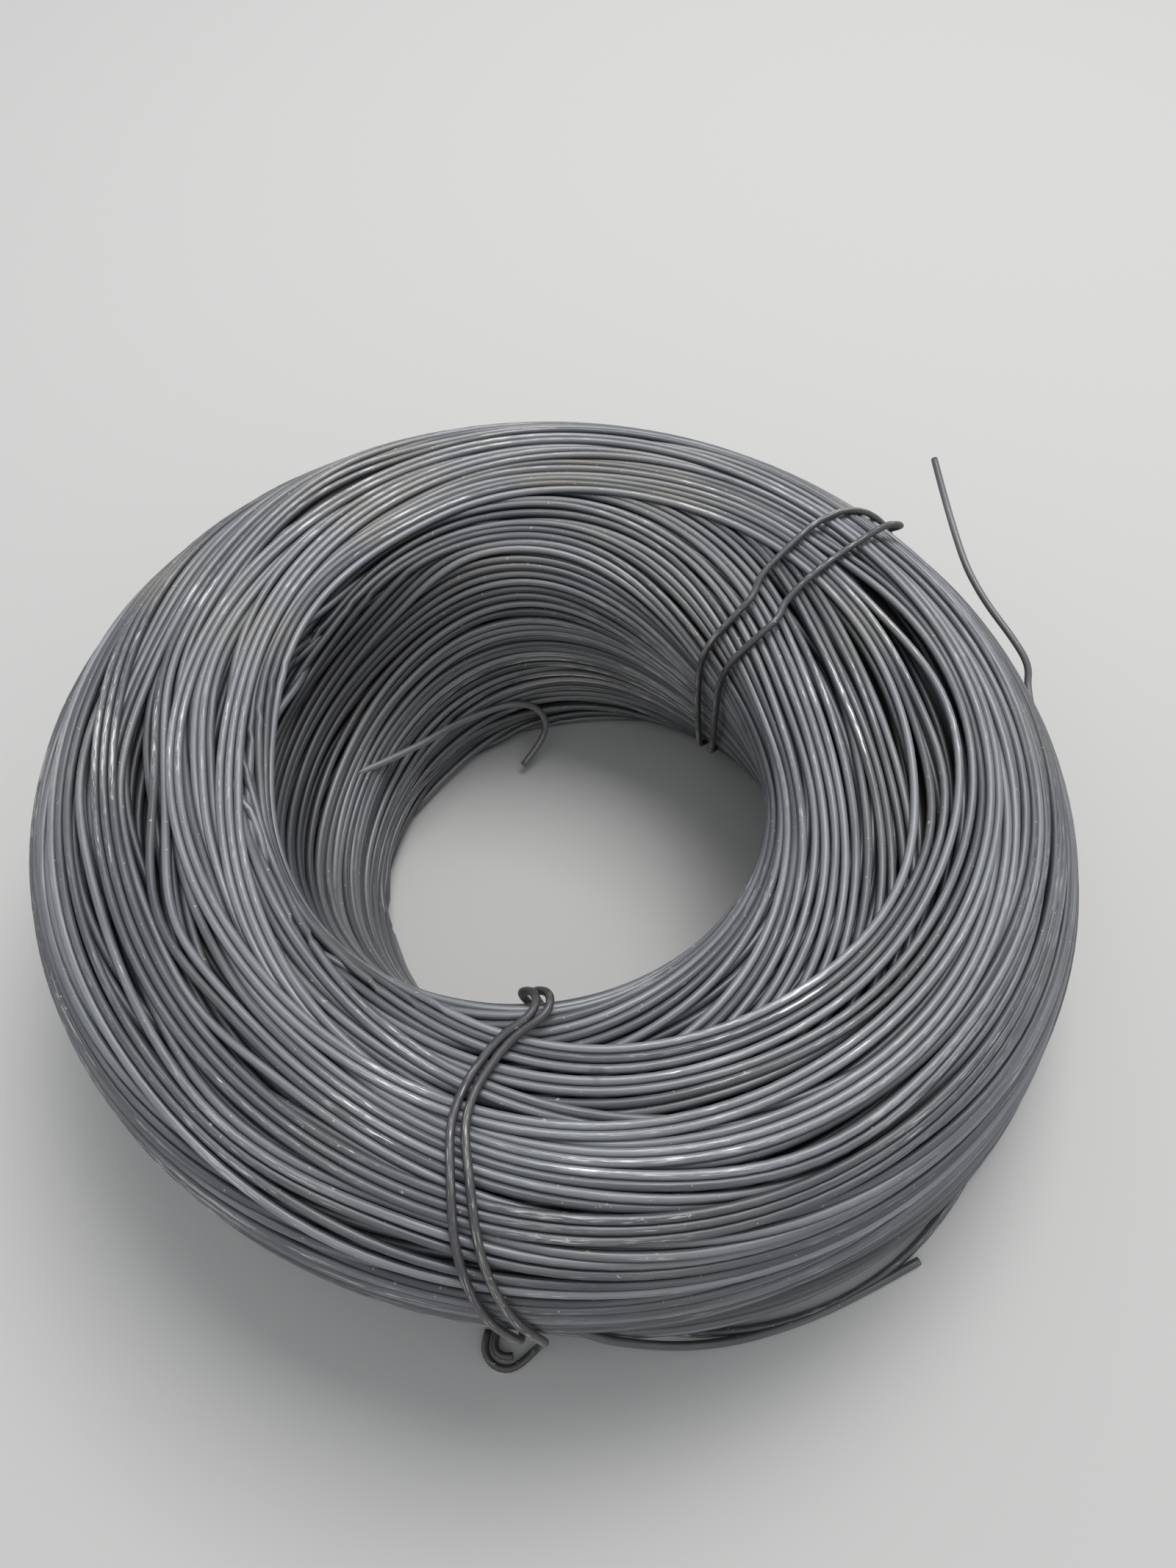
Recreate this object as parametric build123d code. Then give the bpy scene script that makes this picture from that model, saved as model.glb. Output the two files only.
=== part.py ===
# A coil of black annealed binding wire, lying flat on the ground.
# One wire is wound into a thick ring that has slumped a little to one side, and two
# doubled tie wires hold the turns together, one at the front and one at the back.
# The origin is the centre of the coil's base, +Z is up and -Y is the front.
from build123d import *
from math import cos, radians, sin, sqrt
import os

# The wound wire and the ring that it makes.
wire_diameter = 2.4
coil_outer_diameter = 300.0
coil_eye_diameter = 134.0
coil_height = 90.0

# How far the ring's top end has slid from its bottom end.
lean_x = -28.0
lean_y = -9.0

# How far the eye stands off the centre of the turns: at its foot, its wall and its mouth.
eye_foot_shift_x = -2.0
eye_foot_shift_y = -11.0
eye_wall_shift_x = -8.0
eye_wall_shift_y = -7.5
eye_mouth_shift_x = 4.0
eye_mouth_shift_y = -3.0

# How the ring's section is rounded where its sides meet its ends.
outer_shoulder_width = 28.0
outer_shoulder_height = 38.0
mouth_flare_width = 14.0
mouth_flare_height = 30.0
foot_flare_width = 7.0
foot_flare_height = 25.0

# Where the walls draw back: in the eye under the lip of the mouth on the left, and outside
# under the shoulder at the front.
lip_hollow_depth = 5.0
lip_hollow_height = 70.0
lip_hollow_reach = 19.0
lip_hollow_azimuth = 165.0
front_hollow_depth = 3.0
front_hollow_height = 38.0
front_hollow_reach = 20.0
front_hollow_azimuth = -65.0

# Bands of turns on the two sides and on the two ends, with the gaps between them. The bands
# on the top end lie off centre, so that they run out over the lip and over the shoulder.
outer_course_height = 11.25
eye_course_height = 15.0
course_groove_depth = 2.6
top_band_width = 9.0
foot_band_width = 15.0
band_gap_width = 7.0
band_gap_depth = 3.0
top_drift_x = 11.3
top_drift_y = 4.1

# The tie wires, which are thinner, and the room that they have beside the turns.
tie_diameter = 2.1
tie_clearance = 0.3
shoulder_bend_room = 1.0
mouth_bend_room = 2.0
channel_side_room = 1.5
channel_overrun = 15.0
tie_lift = tie_diameter / 2 + tie_clearance
wire_sides = 12

# Where a tie bends on the top, as shares of its width outward from the mouth, how far round
# it has come where it bends above the eye's foot, and the two loops at the front tie's ends,
# in tie diameters.
top_middle_share = 0.62
top_inner_share = 0.2
above_foot_share = 0.45
loop_stand_off = 1.8
large_loop_reach = 3.0
small_loop_reach = 1.7

# Azimuths of each strand of a tie at the outer foot, the outer wall, the shoulder, the
# middle of the top, the inner part of the top, the mouth of the eye and the eye's foot.
front_right_azimuths = (-99.0, -92.0, -94.2, -96.4, -91.3, -87.2, -107.0)
front_left_azimuths = (-101.1, -94.5, -96.2, -97.9, -93.2, -89.7, -109.5)
back_left_azimuths = (47.5, 41.5, 42.4, 42.0, 40.2, 39.5, 60.0)
back_right_azimuths = (44.8, 37.0, 36.2, 35.3, 32.6, 31.5, 57.0)


def rounding(distance, width, height):
    """Inset of a rounded edge, at a distance from the end where it is widest."""
    share = min(max(0.0, 1 - distance / height), 1.0)
    return width * (1 - sqrt(1 - share**2))


def outer_radius(z):
    """Radius of the coil's outside at a height."""
    end_distance = min(z, coil_height - z)
    return coil_outer_diameter / 2 - rounding(end_distance, outer_shoulder_width, outer_shoulder_height)


def eye_radius(z):
    """Radius of the coil's eye at a height."""
    mouth = rounding(coil_height - z, mouth_flare_width, mouth_flare_height)
    foot = rounding(z, foot_flare_width, foot_flare_height)
    return coil_eye_diameter / 2 + mouth + foot


def axis_at(z):
    """Centre of the turns at a height."""
    share = z / coil_height - 0.5
    return lean_x * share, lean_y * share


def eye_centre(z):
    """Centre of the eye at a height."""
    x, y = axis_at(z)
    mouth = rounding(coil_height - z, mouth_flare_width, mouth_flare_height) / mouth_flare_width
    foot = rounding(z, foot_flare_width, foot_flare_height) / foot_flare_width
    wall = 1 - mouth - foot
    shift_x = wall * eye_wall_shift_x + mouth * eye_mouth_shift_x + foot * eye_foot_shift_x
    shift_y = wall * eye_wall_shift_y + mouth * eye_mouth_shift_y + foot * eye_foot_shift_y
    return x + shift_x, y + shift_y


def point_at(z, radius, azimuth, centre=axis_at):
    """A point at a height, at a radius and azimuth about the centre there."""
    x, y = centre(z)
    return Vector(x + radius * cos(radians(azimuth)), y + radius * sin(radians(azimuth)), z)


def drawn_back(z, middle, reach, depth):
    """How far a wall draws back at a height, in a hollow about a middle height."""
    share = min(abs(z - middle) / reach, 1.0)
    return depth * (1 - share**2) ** 2


def leaning_stack(levels, centre, azimuth):
    """A solid through circles round a centre that leans.

    Each is given as (height, radius, change of the radius at the hollow's azimuth).
    """
    sections = []
    for z, radius, change in levels:
        middle = point_at(z, change / 2, azimuth, centre)
        sections.append((Pos(middle) * Circle(radius + change / 2)).face())
    return loft(sections, ruled=True)


def course_levels(radius_at, course_height, groove_step, change_at):
    """Crests and grooves of a side that is built up of courses of turns."""
    courses = round(coil_height / course_height)
    height = coil_height / courses
    levels = [(0.0, radius_at(0.0), 0.0)]
    for course in range(courses):
        crest = (course + 0.5) * height
        levels.append((crest, radius_at(crest), change_at(crest)))
        if course < courses - 1:
            groove = crest + height / 2
            levels.append((groove, radius_at(groove) + groove_step, change_at(groove)))
    levels.append((coil_height, radius_at(coil_height), 0.0))
    return levels


def outer_change(z):
    """Change of the outer radius in the hollow at the front."""
    return -drawn_back(z, front_hollow_height, front_hollow_reach, front_hollow_depth)


def eye_change(z):
    """Change of the eye's radius in the hollow under the lip."""
    return drawn_back(z, lip_hollow_height, lip_hollow_reach, lip_hollow_depth)


def end_gaps(z, up, band_width, shift_x, shift_y):
    """V-shaped gaps between the bands of turns that show on the end at a height."""
    inner = eye_radius(z)
    outer = outer_radius(z)
    count = round((outer - inner) / band_width)
    spacing = (outer - inner) / count
    centre_x, centre_y = axis_at(z)
    gaps = []
    for band in range(count):
        radius = inner + (band + 0.5) * spacing
        left = (radius - band_gap_width, up * band_gap_depth)
        right = (radius + band_gap_width, up * band_gap_depth)
        bottom = (radius, -up * band_gap_depth)
        section = Plane.XZ * Polygon(left, bottom, right, align=None)
        gaps.append(Pos(centre_x + shift_x, centre_y + shift_y, z) * revolve(section, Axis.Z))
    return gaps


def wire_along(points, diameter):
    """A wire with few sides along straight runs that meet in mitred bends."""
    path = Polyline(*points)
    section = Plane(origin=path @ 0, z_dir=path % 0) * RegularPolygon(diameter / 2, wire_sides)
    return sweep(section, path=path, transition=Transition.RIGHT)


def beside_outside(stations, diameter):
    """Points from (share of the height, diameters off the outside, azimuth)."""
    wall = coil_outer_diameter / 2
    return [point_at(share * coil_height, wall + off * diameter, azimuth) for share, off, azimuth in stations]


def beside_eye(stations, diameter):
    """Points from (share of the height, diameters inside the eye's radius, azimuth)."""
    wall = coil_eye_diameter / 2
    return [point_at(share * coil_height, wall - off * diameter, azimuth) for share, off, azimuth in stations]


def round_edge(side, angle, azimuth):
    """A tie point beside a rounded edge of the top end: side 1 is outside, -1 the eye."""
    width, height = outer_shoulder_width, outer_shoulder_height
    end_radius = outer_radius(coil_height)
    bend_room = shoulder_bend_room
    centre = axis_at
    if side < 0:
        width, height = mouth_flare_width, mouth_flare_height
        end_radius = eye_radius(coil_height)
        bend_room = mouth_bend_room
        centre = eye_centre
    across, up = cos(radians(angle)), sin(radians(angle))
    offset = (tie_lift + bend_room) / sqrt((height * across) ** 2 + (width * up) ** 2)
    radius = end_radius + side * (width + offset * height) * across
    z = coil_height - height + (height + offset * width) * up
    return point_at(z, radius, azimuth, centre)


def foot_of(azimuths):
    """Where a strand meets the ground outside the coil."""
    return point_at(tie_lift, coil_outer_diameter / 2 + tie_lift, azimuths[0])


def up_the_outside(azimuths):
    """Tie points up the outer wall and over the shoulder."""
    wall, shoulder = azimuths[1:3]
    return [round_edge(1, angle, wall + (shoulder - wall) * angle / 90) for angle in (0, 30, 60, 90)]


def across_and_down(azimuths):
    """Tie points across the top, over the mouth of the eye and down to its foot."""
    middle, inner, rim, eye_foot = azimuths[3:]
    mouth = eye_radius(coil_height)
    width = outer_radius(coil_height) - mouth
    places = ((top_middle_share, middle), (top_inner_share, inner))
    points = [point_at(coil_height + tie_lift, mouth + share * width, azimuth) for share, azimuth in places]
    points += [round_edge(-1, angle, rim) for angle in (90, 70, 40, 0)]
    above_foot = rim + above_foot_share * (eye_foot - rim)
    wall_radius = eye_radius(foot_flare_height) - tie_lift - mouth_bend_room
    points.append(point_at(foot_flare_height, wall_radius, above_foot, eye_centre))
    return points + [point_at(tie_lift, coil_eye_diameter / 2, eye_foot, eye_centre)]


def tie_channel(first_run, second_run):
    """The room under the coil round two runs of a tie, each from the eye to the outside."""
    (first_start, first_end), (second_start, second_end) = first_run, second_run
    middle_start = (first_start + second_start) / 2
    middle_end = (first_end + second_end) / 2
    start = Vector(middle_start.X, middle_start.Y, 0)
    end = Vector(middle_end.X, middle_end.Y, 0)
    overrun = (end - start).normalized() * channel_overrun
    apart = max((first_start - second_start).length, (first_end - second_end).length)
    width = apart + tie_diameter + 2 * channel_side_room
    depth = 2 * (tie_diameter + 2 * tie_clearance)
    along = Plane(origin=start - overrun, x_dir=end - start, z_dir=(0, 0, 1))
    length = (end - start).length + 2 * channel_overrun
    return along * Box(length, width, depth, align=(Align.MIN, Align.CENTER, Align.CENTER))


def ring_on_ground(centre, radius, angles, rise):
    """Points round a small loop that lies on the ground, rising a little towards its end."""
    points = []
    for index, angle in enumerate(angles):
        turn = Vector(cos(radians(angle)), sin(radians(angle)), 0) * radius
        points.append(centre + turn + Vector(0, 0, rise * index / len(angles)))
    return points


# The coil: the ring of turns with its eye and the gaps between the bands on its ends.
outer_levels = course_levels(outer_radius, outer_course_height, -course_groove_depth, outer_change)
eye_levels = course_levels(eye_radius, eye_course_height, course_groove_depth, eye_change)
turns = leaning_stack(outer_levels, axis_at, front_hollow_azimuth)
below = (-wire_diameter, eye_radius(0), 0.0)
above = (coil_height + wire_diameter, eye_radius(coil_height), 0.0)
wire_coil = turns - leaning_stack([below] + eye_levels + [above], eye_centre, lip_hollow_azimuth)
wire_coil -= end_gaps(coil_height, 1, top_band_width, top_drift_x, top_drift_y)
wire_coil -= end_gaps(0, -1, foot_band_width, 0.0, 0.0)
# The coil's own free ends, as (share of the height, wire diameters off the wall, azimuth):
# the outer end springs up, a lowest turn peels away along the ground, and the inner end is
# bent into a hook.
on_ground = wire_diameter / 2 / coil_height
outer_end = (
    (0.378, -2.5, 1),
    (0.389, 0.2, 9),
    (0.428, 3.1, 19),
    (0.472, 4.9, 20.9),
    (0.511, 5.1, 23.8),
    (0.556, 5.4, 31.2),
    (0.6, 8.6, 37.7),
    (0.667, 19.2, 47),
)
ground_end = (
    (0.333, -3.5, -99),
    (0.222, -0.4, -93),
    (0.1, 0.4, -87.5),
    (0.028, 0.8, -82),
    (on_ground, 0.85, -76),
    (on_ground, 0.85, -67),
    (on_ground, 1.0, -57.5),
)
inner_end = (
    (0.456, -5.6, 172),
    (0.378, 0.3, 155),
    (0.306, 0.6, 138.5),
    (0.271, 1.3, 124.2),
    (0.259, 1.8, 118.4),
    (0.226, 2.4, 113.7),
    (0.178, 3.7, 112.4),
    (0.122, 4.2, 114.5),
    (0.078, 5.2, 120),
    (0.044, 6.0, 130.3),
)
wire_coil += wire_along(beside_outside(outer_end, wire_diameter), wire_diameter)
wire_coil += wire_along(beside_outside(ground_end, wire_diameter), wire_diameter)
wire_coil += wire_along(beside_eye(inner_end, wire_diameter), wire_diameter)

# The front tie: one wire wound twice round the section. It starts in a loop on the ground
# and ends in a smaller one inside it.
loop_centre = point_at(tie_lift, coil_outer_diameter / 2 + loop_stand_off * tie_diameter, -102.6)
large_loop_angles = (145, 180, 215, 250, 285, 320)
small_loop_angles = (150, 200, 250, 300)
large_loop = ring_on_ground(loop_centre, large_loop_reach * tie_diameter, large_loop_angles, 0)
small_loop = ring_on_ground(loop_centre, small_loop_reach * tie_diameter, small_loop_angles, tie_diameter)
first_turn = up_the_outside(front_right_azimuths) + across_and_down(front_right_azimuths)
second_turn = up_the_outside(front_left_azimuths) + across_and_down(front_left_azimuths)
front_start = large_loop + [foot_of(front_right_azimuths)]
front_path = front_start + first_turn + [foot_of(front_left_azimuths)] + second_turn + small_loop
front_tie = wire_along(front_path, tie_diameter)
first_run = (first_turn[-1], foot_of(front_left_azimuths))
second_run = (second_turn[-1], small_loop[0])
wire_coil -= tie_channel(first_run, second_run)

# The back tie: one wire wound twice as well. It starts in a small hook that stands off the
# outer shoulder and ends part of the way up the outer wall.
hook = ((0.925, -4.6, 37.6), (0.955, -3.4, 36.2), (0.99, -4.6, 35.9), (1.015, -7.0, 36.2))
tucked_end = ((tie_lift / coil_height, 0.7, 50.5), (0.45, 0.7, 46.5))
first_turn = beside_outside(hook, tie_diameter) + across_and_down(back_right_azimuths)
second_turn = up_the_outside(back_left_azimuths) + across_and_down(back_left_azimuths)
last_rise = beside_outside(tucked_end, tie_diameter)
back_path = first_turn + [foot_of(back_left_azimuths)] + second_turn + last_rise
back_tie = wire_along(back_path, tie_diameter)
first_run = (first_turn[-1], foot_of(back_left_azimuths))
second_run = (second_turn[-1], last_rise[0])
wire_coil -= tie_channel(first_run, second_run)

os.makedirs("parts", exist_ok=True)
export_step(wire_coil, "parts/wire_coil.step")
export_step(front_tie, "parts/front_tie.step")
export_step(back_tie, "parts/back_tie.step")
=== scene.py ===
# %% [markdown]
# # A coil of black annealed binding wire
# The real thing is one long soft steel wire, wound into a thick ring that has slumped to one
# side. Two doubled tie wires hold it. The measured model gives the ring as one solid; this
# lesson lays the single turns over it, and gives the wire its oxide skin and its wear.

# %% Load the measured model
import math

import bpy
import numpy as np
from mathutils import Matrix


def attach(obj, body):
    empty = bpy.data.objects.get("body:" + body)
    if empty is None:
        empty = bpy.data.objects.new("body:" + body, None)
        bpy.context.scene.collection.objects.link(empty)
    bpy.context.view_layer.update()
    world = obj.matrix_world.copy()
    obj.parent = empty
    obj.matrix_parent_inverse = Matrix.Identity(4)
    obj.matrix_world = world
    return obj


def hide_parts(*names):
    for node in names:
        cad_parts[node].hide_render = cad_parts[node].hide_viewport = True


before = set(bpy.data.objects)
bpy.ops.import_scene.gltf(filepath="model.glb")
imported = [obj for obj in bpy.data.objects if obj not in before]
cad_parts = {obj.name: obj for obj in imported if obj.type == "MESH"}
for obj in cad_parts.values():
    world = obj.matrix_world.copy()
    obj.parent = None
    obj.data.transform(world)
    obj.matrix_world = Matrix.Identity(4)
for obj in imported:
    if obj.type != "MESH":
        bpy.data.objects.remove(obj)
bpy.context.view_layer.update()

print("solids:", sorted(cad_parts))

# %% [markdown]
# ## The camera
# The photograph was taken from above and a little in front, with a wide lens close to the
# coil. A camera can be turned until it looks right, but here its place was fitted to the
# outline of the coil, so that every turn falls where the photograph shows it.

# %% Camera
MM = 0.001
camera_place = (2.1, -197.0, 352.1)
camera_tilt = 33.8
camera_lens = 27.0

camera_data = bpy.data.cameras.new("camera")
camera_data.lens = camera_lens
camera_data.sensor_width = 36.0
camera = bpy.data.objects.new("camera", camera_data)
camera.location = [value * MM for value in camera_place]
camera.rotation_euler = (math.radians(camera_tilt), 0.0, 0.0)
bpy.context.scene.collection.objects.link(camera)
bpy.context.scene.camera = camera
print("the camera stands", round(math.hypot(*camera_place)), "mm from the middle of the coil's foot")

# %% [markdown]
# ## The light
# The wire is dark and round, so it shows mostly as soft streaks of sky along each turn with
# near-black gaps between them. One large lamp overhead and an even pale surrounding give
# those streaks without hard spots. The surroundings that a camera or a reflection sees are
# set apart from those that give light, so that a pale background adds no glare.


# %% Surroundings
sky_light, sky_strength = (0.93, 0.96, 1.0, 1.0), 0.5
backdrop_colour, backdrop_strength = (0.80, 0.82, 0.85, 1.0), 1.0


def seen_directly(nodes, links):
    """1 where the camera, a reflection or a view through glass meets a surface."""
    path = nodes.new("ShaderNodeLightPath")
    first = nodes.new("ShaderNodeMath")
    first.operation = "ADD"
    links.new(path.outputs["Is Camera Ray"], first.inputs[0])
    links.new(path.outputs["Is Glossy Ray"], first.inputs[1])
    both = nodes.new("ShaderNodeMath")
    both.operation = "ADD"
    both.use_clamp = True
    links.new(first.outputs[0], both.inputs[0])
    links.new(path.outputs["Is Transmission Ray"], both.inputs[1])
    return both.outputs[0]


world = bpy.data.worlds.new("studio")
bpy.context.scene.world = world
world.use_nodes = True
nodes, links = world.node_tree.nodes, world.node_tree.links
nodes.clear()
light_side = nodes.new("ShaderNodeBackground")
light_side.inputs["Color"].default_value = sky_light
light_side.inputs["Strength"].default_value = sky_strength
seen_side = nodes.new("ShaderNodeBackground")
seen_side.inputs["Color"].default_value = backdrop_colour
seen_side.inputs["Strength"].default_value = backdrop_strength
chosen = nodes.new("ShaderNodeMixShader")
links.new(seen_directly(nodes, links), chosen.inputs[0])
links.new(light_side.outputs[0], chosen.inputs[1])
links.new(seen_side.outputs[0], chosen.inputs[2])
world_output = nodes.new("ShaderNodeOutputWorld")
links.new(chosen.outputs[0], world_output.inputs["Surface"])
print("the surroundings give light at a strength of", sky_strength)

# %% [markdown]
# ### The floor
# The real coil lies on bare ground. Here a plain pale floor takes its place, so that the coil
# can be used anywhere. One large flat face is enough, because all that it has to do is catch
# the shadow and throw some light back under the turns. It is dull, so nothing mirrors in it.

# %% Floor
floor_reach = 3.0
floor_colour = (0.70, 0.69, 0.67, 1.0)

floor_mesh = bpy.data.meshes.new("floor")
quarters = ((-1, -1), (1, -1), (1, 1), (-1, 1))
floor_corners = [(x * floor_reach, y * floor_reach, 0.0) for x, y in quarters]
floor_mesh.from_pydata(floor_corners, [], [(0, 1, 2, 3)])
floor = bpy.data.objects.new("floor", floor_mesh)
bpy.context.scene.collection.objects.link(floor)
floor_paint = bpy.data.materials.new("floor_paint")
floor_paint.use_nodes = True
floor_shader = floor_paint.node_tree.nodes["Principled BSDF"]
floor_shader.inputs["Base Color"].default_value = floor_colour
floor_shader.inputs["Roughness"].default_value = 0.9
floor_shader.inputs["Specular IOR Level"].default_value = 0.1
floor_mesh.materials.append(floor_paint)
print("the floor is", 2 * floor_reach, "m across")

# %% [markdown]
# ### The lamp
# Daylight came from above and a little from behind. A sun would draw a hard shadow between
# any two turns; a square lamp almost a metre wide, one and a half metres up, lights them
# softly, and its reflection makes the long bright streak on every wire.

# %% Lamp
lamp_place = (0.25, 0.55, 1.5)
lamp_size = 0.9
lamp_power = 14.5


def soft_lamp(name, place, size, power):
    """A square lamp that points at the coil."""
    data = bpy.data.lights.new(name, "AREA")
    data.size = size
    data.energy = power
    lamp = bpy.data.objects.new(name, data)
    lamp.location = place
    towards = -lamp.location.normalized()
    lamp.rotation_euler = towards.to_track_quat("-Z", "Y").to_euler()
    bpy.context.scene.collection.objects.link(lamp)
    return lamp


soft_lamp("overhead", lamp_place, lamp_size, lamp_power)
bpy.context.scene.view_settings.view_transform = "Standard"
print("the lamp gives", lamp_power, "W from a height of", lamp_place[2], "m")

# %% [markdown]
# ## The ring's section
# A turn of wire lies somewhere round the ring's section: on the outer wall, the top, the
# eye's wall or underneath. So a turn's place is its distance along the section's outline and
# its depth below it. The outline isn't the same all round: the eye stands off the centre of
# the turns, by different amounts at its foot, its wall and its mouth, and the lowest turns
# spread out on the ground at the front. It is drawn at 144 stations round the ring, with
# the sizes of the measured model.

# %% Sizes of the section
# Sizes in mm. Each rounded edge is given by its width and its height.
coil_radius = 150.0
eye_radius = 67.0
coil_height = 90.0
shoulder = (28.0, 38.0)
mouth = (14.0, 30.0)
foot = (7.0, 25.0)
lean = np.array((-28.0, -9.0))
foot_shift = np.array((-2.0, -11.0))
wall_shift = np.array((-8.0, -7.5))
mouth_shift = np.array((4.0, -3.0))
wire_diameter = 2.4
wire_radius = wire_diameter / 2
print("the ring's section is", coil_radius - eye_radius, "mm wide and", coil_height, "mm high")

# %% [markdown]
# ### Slow changes round the ring
# Wound wire changes slowly round the ring: bands drift in and out, gaps open and close, the
# foot spreads at the front. Moving points by hand would do, but waves and humps round the
# ring, each set by a size, an azimuth and a width, are easier to match to the photograph.

# %% Waves, humps and the spread of the foot
stations = 144
azimuth = np.arange(stations) * 2 * np.pi / stations


def wave(size, crest, times=1):
    """A smooth wave round the ring with its crest at an azimuth in degrees."""
    return size * np.cos(times * (azimuth - math.radians(crest)))


def hump(value, middle, half_width):
    """A smooth hump of height 1 about a middle value."""
    share = np.clip(np.abs(value - middle) / half_width, 0, 1)
    return (1 - share**2) ** 2


def hump_at(crest, half_width):
    """A smooth hump of height 1 round the ring about an azimuth in degrees."""
    turned = (np.degrees(azimuth) - crest + 180) % 360 - 180
    return hump(turned, 0, half_width)


def ramp(value):
    """0 below 0, 1 above 1 and smooth between."""
    share = np.clip(value, 0, 1)
    return share * share * (3 - 2 * share)


spread_azimuth, spread_reach = -85, 80
spread_width, spread_height = 19, 25
foot_spread = hump_at(spread_azimuth, spread_reach)
foot_wide = shoulder[0] - spread_width * foot_spread
foot_tall = shoulder[1] - spread_height * foot_spread
print("the foot's rounded edge narrows to", round(foot_wide.min(), 1), "mm at the front")

# %% [markdown]
# ### An eye that stands off centre
# The eye's turns have shifted, so its wall isn't the same distance from the turns' centre all
# round. The eye could be a mesh of its own, but only its distance matters here: at each height
# and azimuth, how much farther out its wall is than its plain radius.


# %% The eye's shift at a height
def rounded_in(distance, wide, tall):
    """How far a rounded edge is set in, at a distance from the end where it is widest."""
    share = np.clip(1 - distance / tall, 0, 1)
    return wide * (1 - np.sqrt(1 - share**2))


def eye_shift_at(z):
    """How far the eye's centre stands off the centre of the turns at a height: x and y."""
    at_mouth = rounded_in(coil_height - z, 1.0, mouth[1])
    at_foot = rounded_in(z, 1.0, foot[1])
    at_wall = 1 - at_mouth - at_foot
    return [at_wall * wall_shift[k] + at_mouth * mouth_shift[k] + at_foot * foot_shift[k] for k in (0, 1)]


def eye_radius_at(z):
    """Radius of the eye at a height, about its own centre."""
    return eye_radius + rounded_in(coil_height - z, *mouth) + rounded_in(z, *foot)


def eye_offset(z, turned):
    """How much farther from the turns' centre the eye's wall is than its radius."""
    shift_x, shift_y = eye_shift_at(z)
    towards = shift_x * np.cos(turned) + shift_y * np.sin(turned)
    aside = shift_y * np.cos(turned) - shift_x * np.sin(turned)
    radius = eye_radius_at(z)
    return towards + np.sqrt(radius**2 - aside**2) - radius


print("the eye's wall is off centre by up to", round(math.hypot(*wall_shift), 1), "mm")

# %% [markdown]
# ### The outline at every station
# The section is a box with four rounded edges, each of its own width and height. Quarters of
# ellipses joined by straight lines give it exactly, where a smoothed box would only come
# near. The points are spaced evenly, so that a place along the outline is a plain distance.


# %% Outline of the section at every station
def corner(centre, reach, start, end, count=50):
    """Points round a quarter of an ellipse, by angle in degrees."""
    angle = np.radians(np.linspace(start, end, count))
    return np.stack([centre[0] + reach[0] * np.cos(angle), centre[1] + reach[1] * np.sin(angle)], 1)


def even_points(points, count):
    """An open line as a number of points an even distance apart, with its length."""
    travelled = np.concatenate([[0], np.cumsum(np.hypot(*np.diff(points, axis=0).T))])
    at = np.linspace(0, travelled[-1], count)
    return np.stack([np.interp(at, travelled, points[:, k]) for k in (0, 1)], 1), travelled[-1]


foot_middle = 97.0
top_outside = coil_radius - shoulder[0]


def section_at(turned, wide, tall, shifted=1.0):
    """The outline anticlockwise from the middle of the foot: its outer and its eye half."""
    outer = np.vstack([
        (foot_middle, 0.0),
        corner((coil_radius - wide, tall), (wide, tall), -90, 0),
        corner((top_outside, coil_height - shoulder[1]), shoulder, 0, 90),
    ])
    eye_side = np.vstack([
        corner((eye_radius + mouth[0], coil_height - mouth[1]), mouth, 90, 180),
        corner((eye_radius + foot[0], foot[1]), foot, 180, 270),
    ])
    eye_side[:, 0] += shifted * eye_offset(eye_side[:, 1], turned)
    inner = np.vstack([(top_outside, coil_height), eye_side, (foot_middle, 0.0)])
    return outer, inner


plain_outer, plain_inner = section_at(0.0, *shoulder, shifted=0.0)
outer_half = even_points(plain_outer, 2)[1]
eye_half = even_points(plain_inner, 2)[1]
outline_length = outer_half + eye_half
outer_count, eye_count = round(outer_half), round(eye_half)
outline_start = foot_middle - top_outside
outlines = np.array([
    np.vstack([even_points(outer, outer_count + 1)[0][:-1], even_points(inner, eye_count + 1)[0][:-1]])
    for outer, inner in (section_at(*given) for given in zip(azimuth, foot_wide, foot_tall))
])
print("the section's outline is", round(outline_length), "mm long, drawn at", len(outlines), "stations")

# %% [markdown]
# ### Places below the surface
# A turn that another one rides over lies deeper in the coil. Going straight in from the
# surface is the plain way to find its place, but the edge of the eye's mouth bends so sharply
# that lines going in from it cross, and wires laid there get kinks. So a second, smoother
# line is drawn farther in, and deep places are measured from that one.


# %% From a place and a depth to a point
def outward(points):
    """Unit normals of closed outlines that run anticlockwise."""
    along = np.roll(points, -1, -2) - np.roll(points, 1, -2)
    along /= np.linalg.norm(along, axis=-1, keepdims=True)
    return np.stack([along[..., 1], -along[..., 0]], -1)


def inset(depth):
    """The outlines at a depth, with their corners eased, and evenly spaced again."""
    points = outlines - outward(outlines) * depth
    for _ in range(int(2 * depth)):
        points = (np.roll(points, 1, 1) + 2 * points + np.roll(points, -1, 1)) / 4
    paths = []
    for path in points:
        first = path[:outer_count + 1]
        second = np.vstack([path[outer_count:], path[:1]])
        paths.append(np.vstack([
            even_points(first, outer_count + 1)[0][:-1],
            even_points(second, eye_count + 1)[0][:-1],
        ]))
    return np.array(paths)


deep_down = 8.0
deepest_turn = 9.0
paths_below = [(path_depth, inset(path_depth)) for path_depth in (wire_radius, deep_down)]


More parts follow.
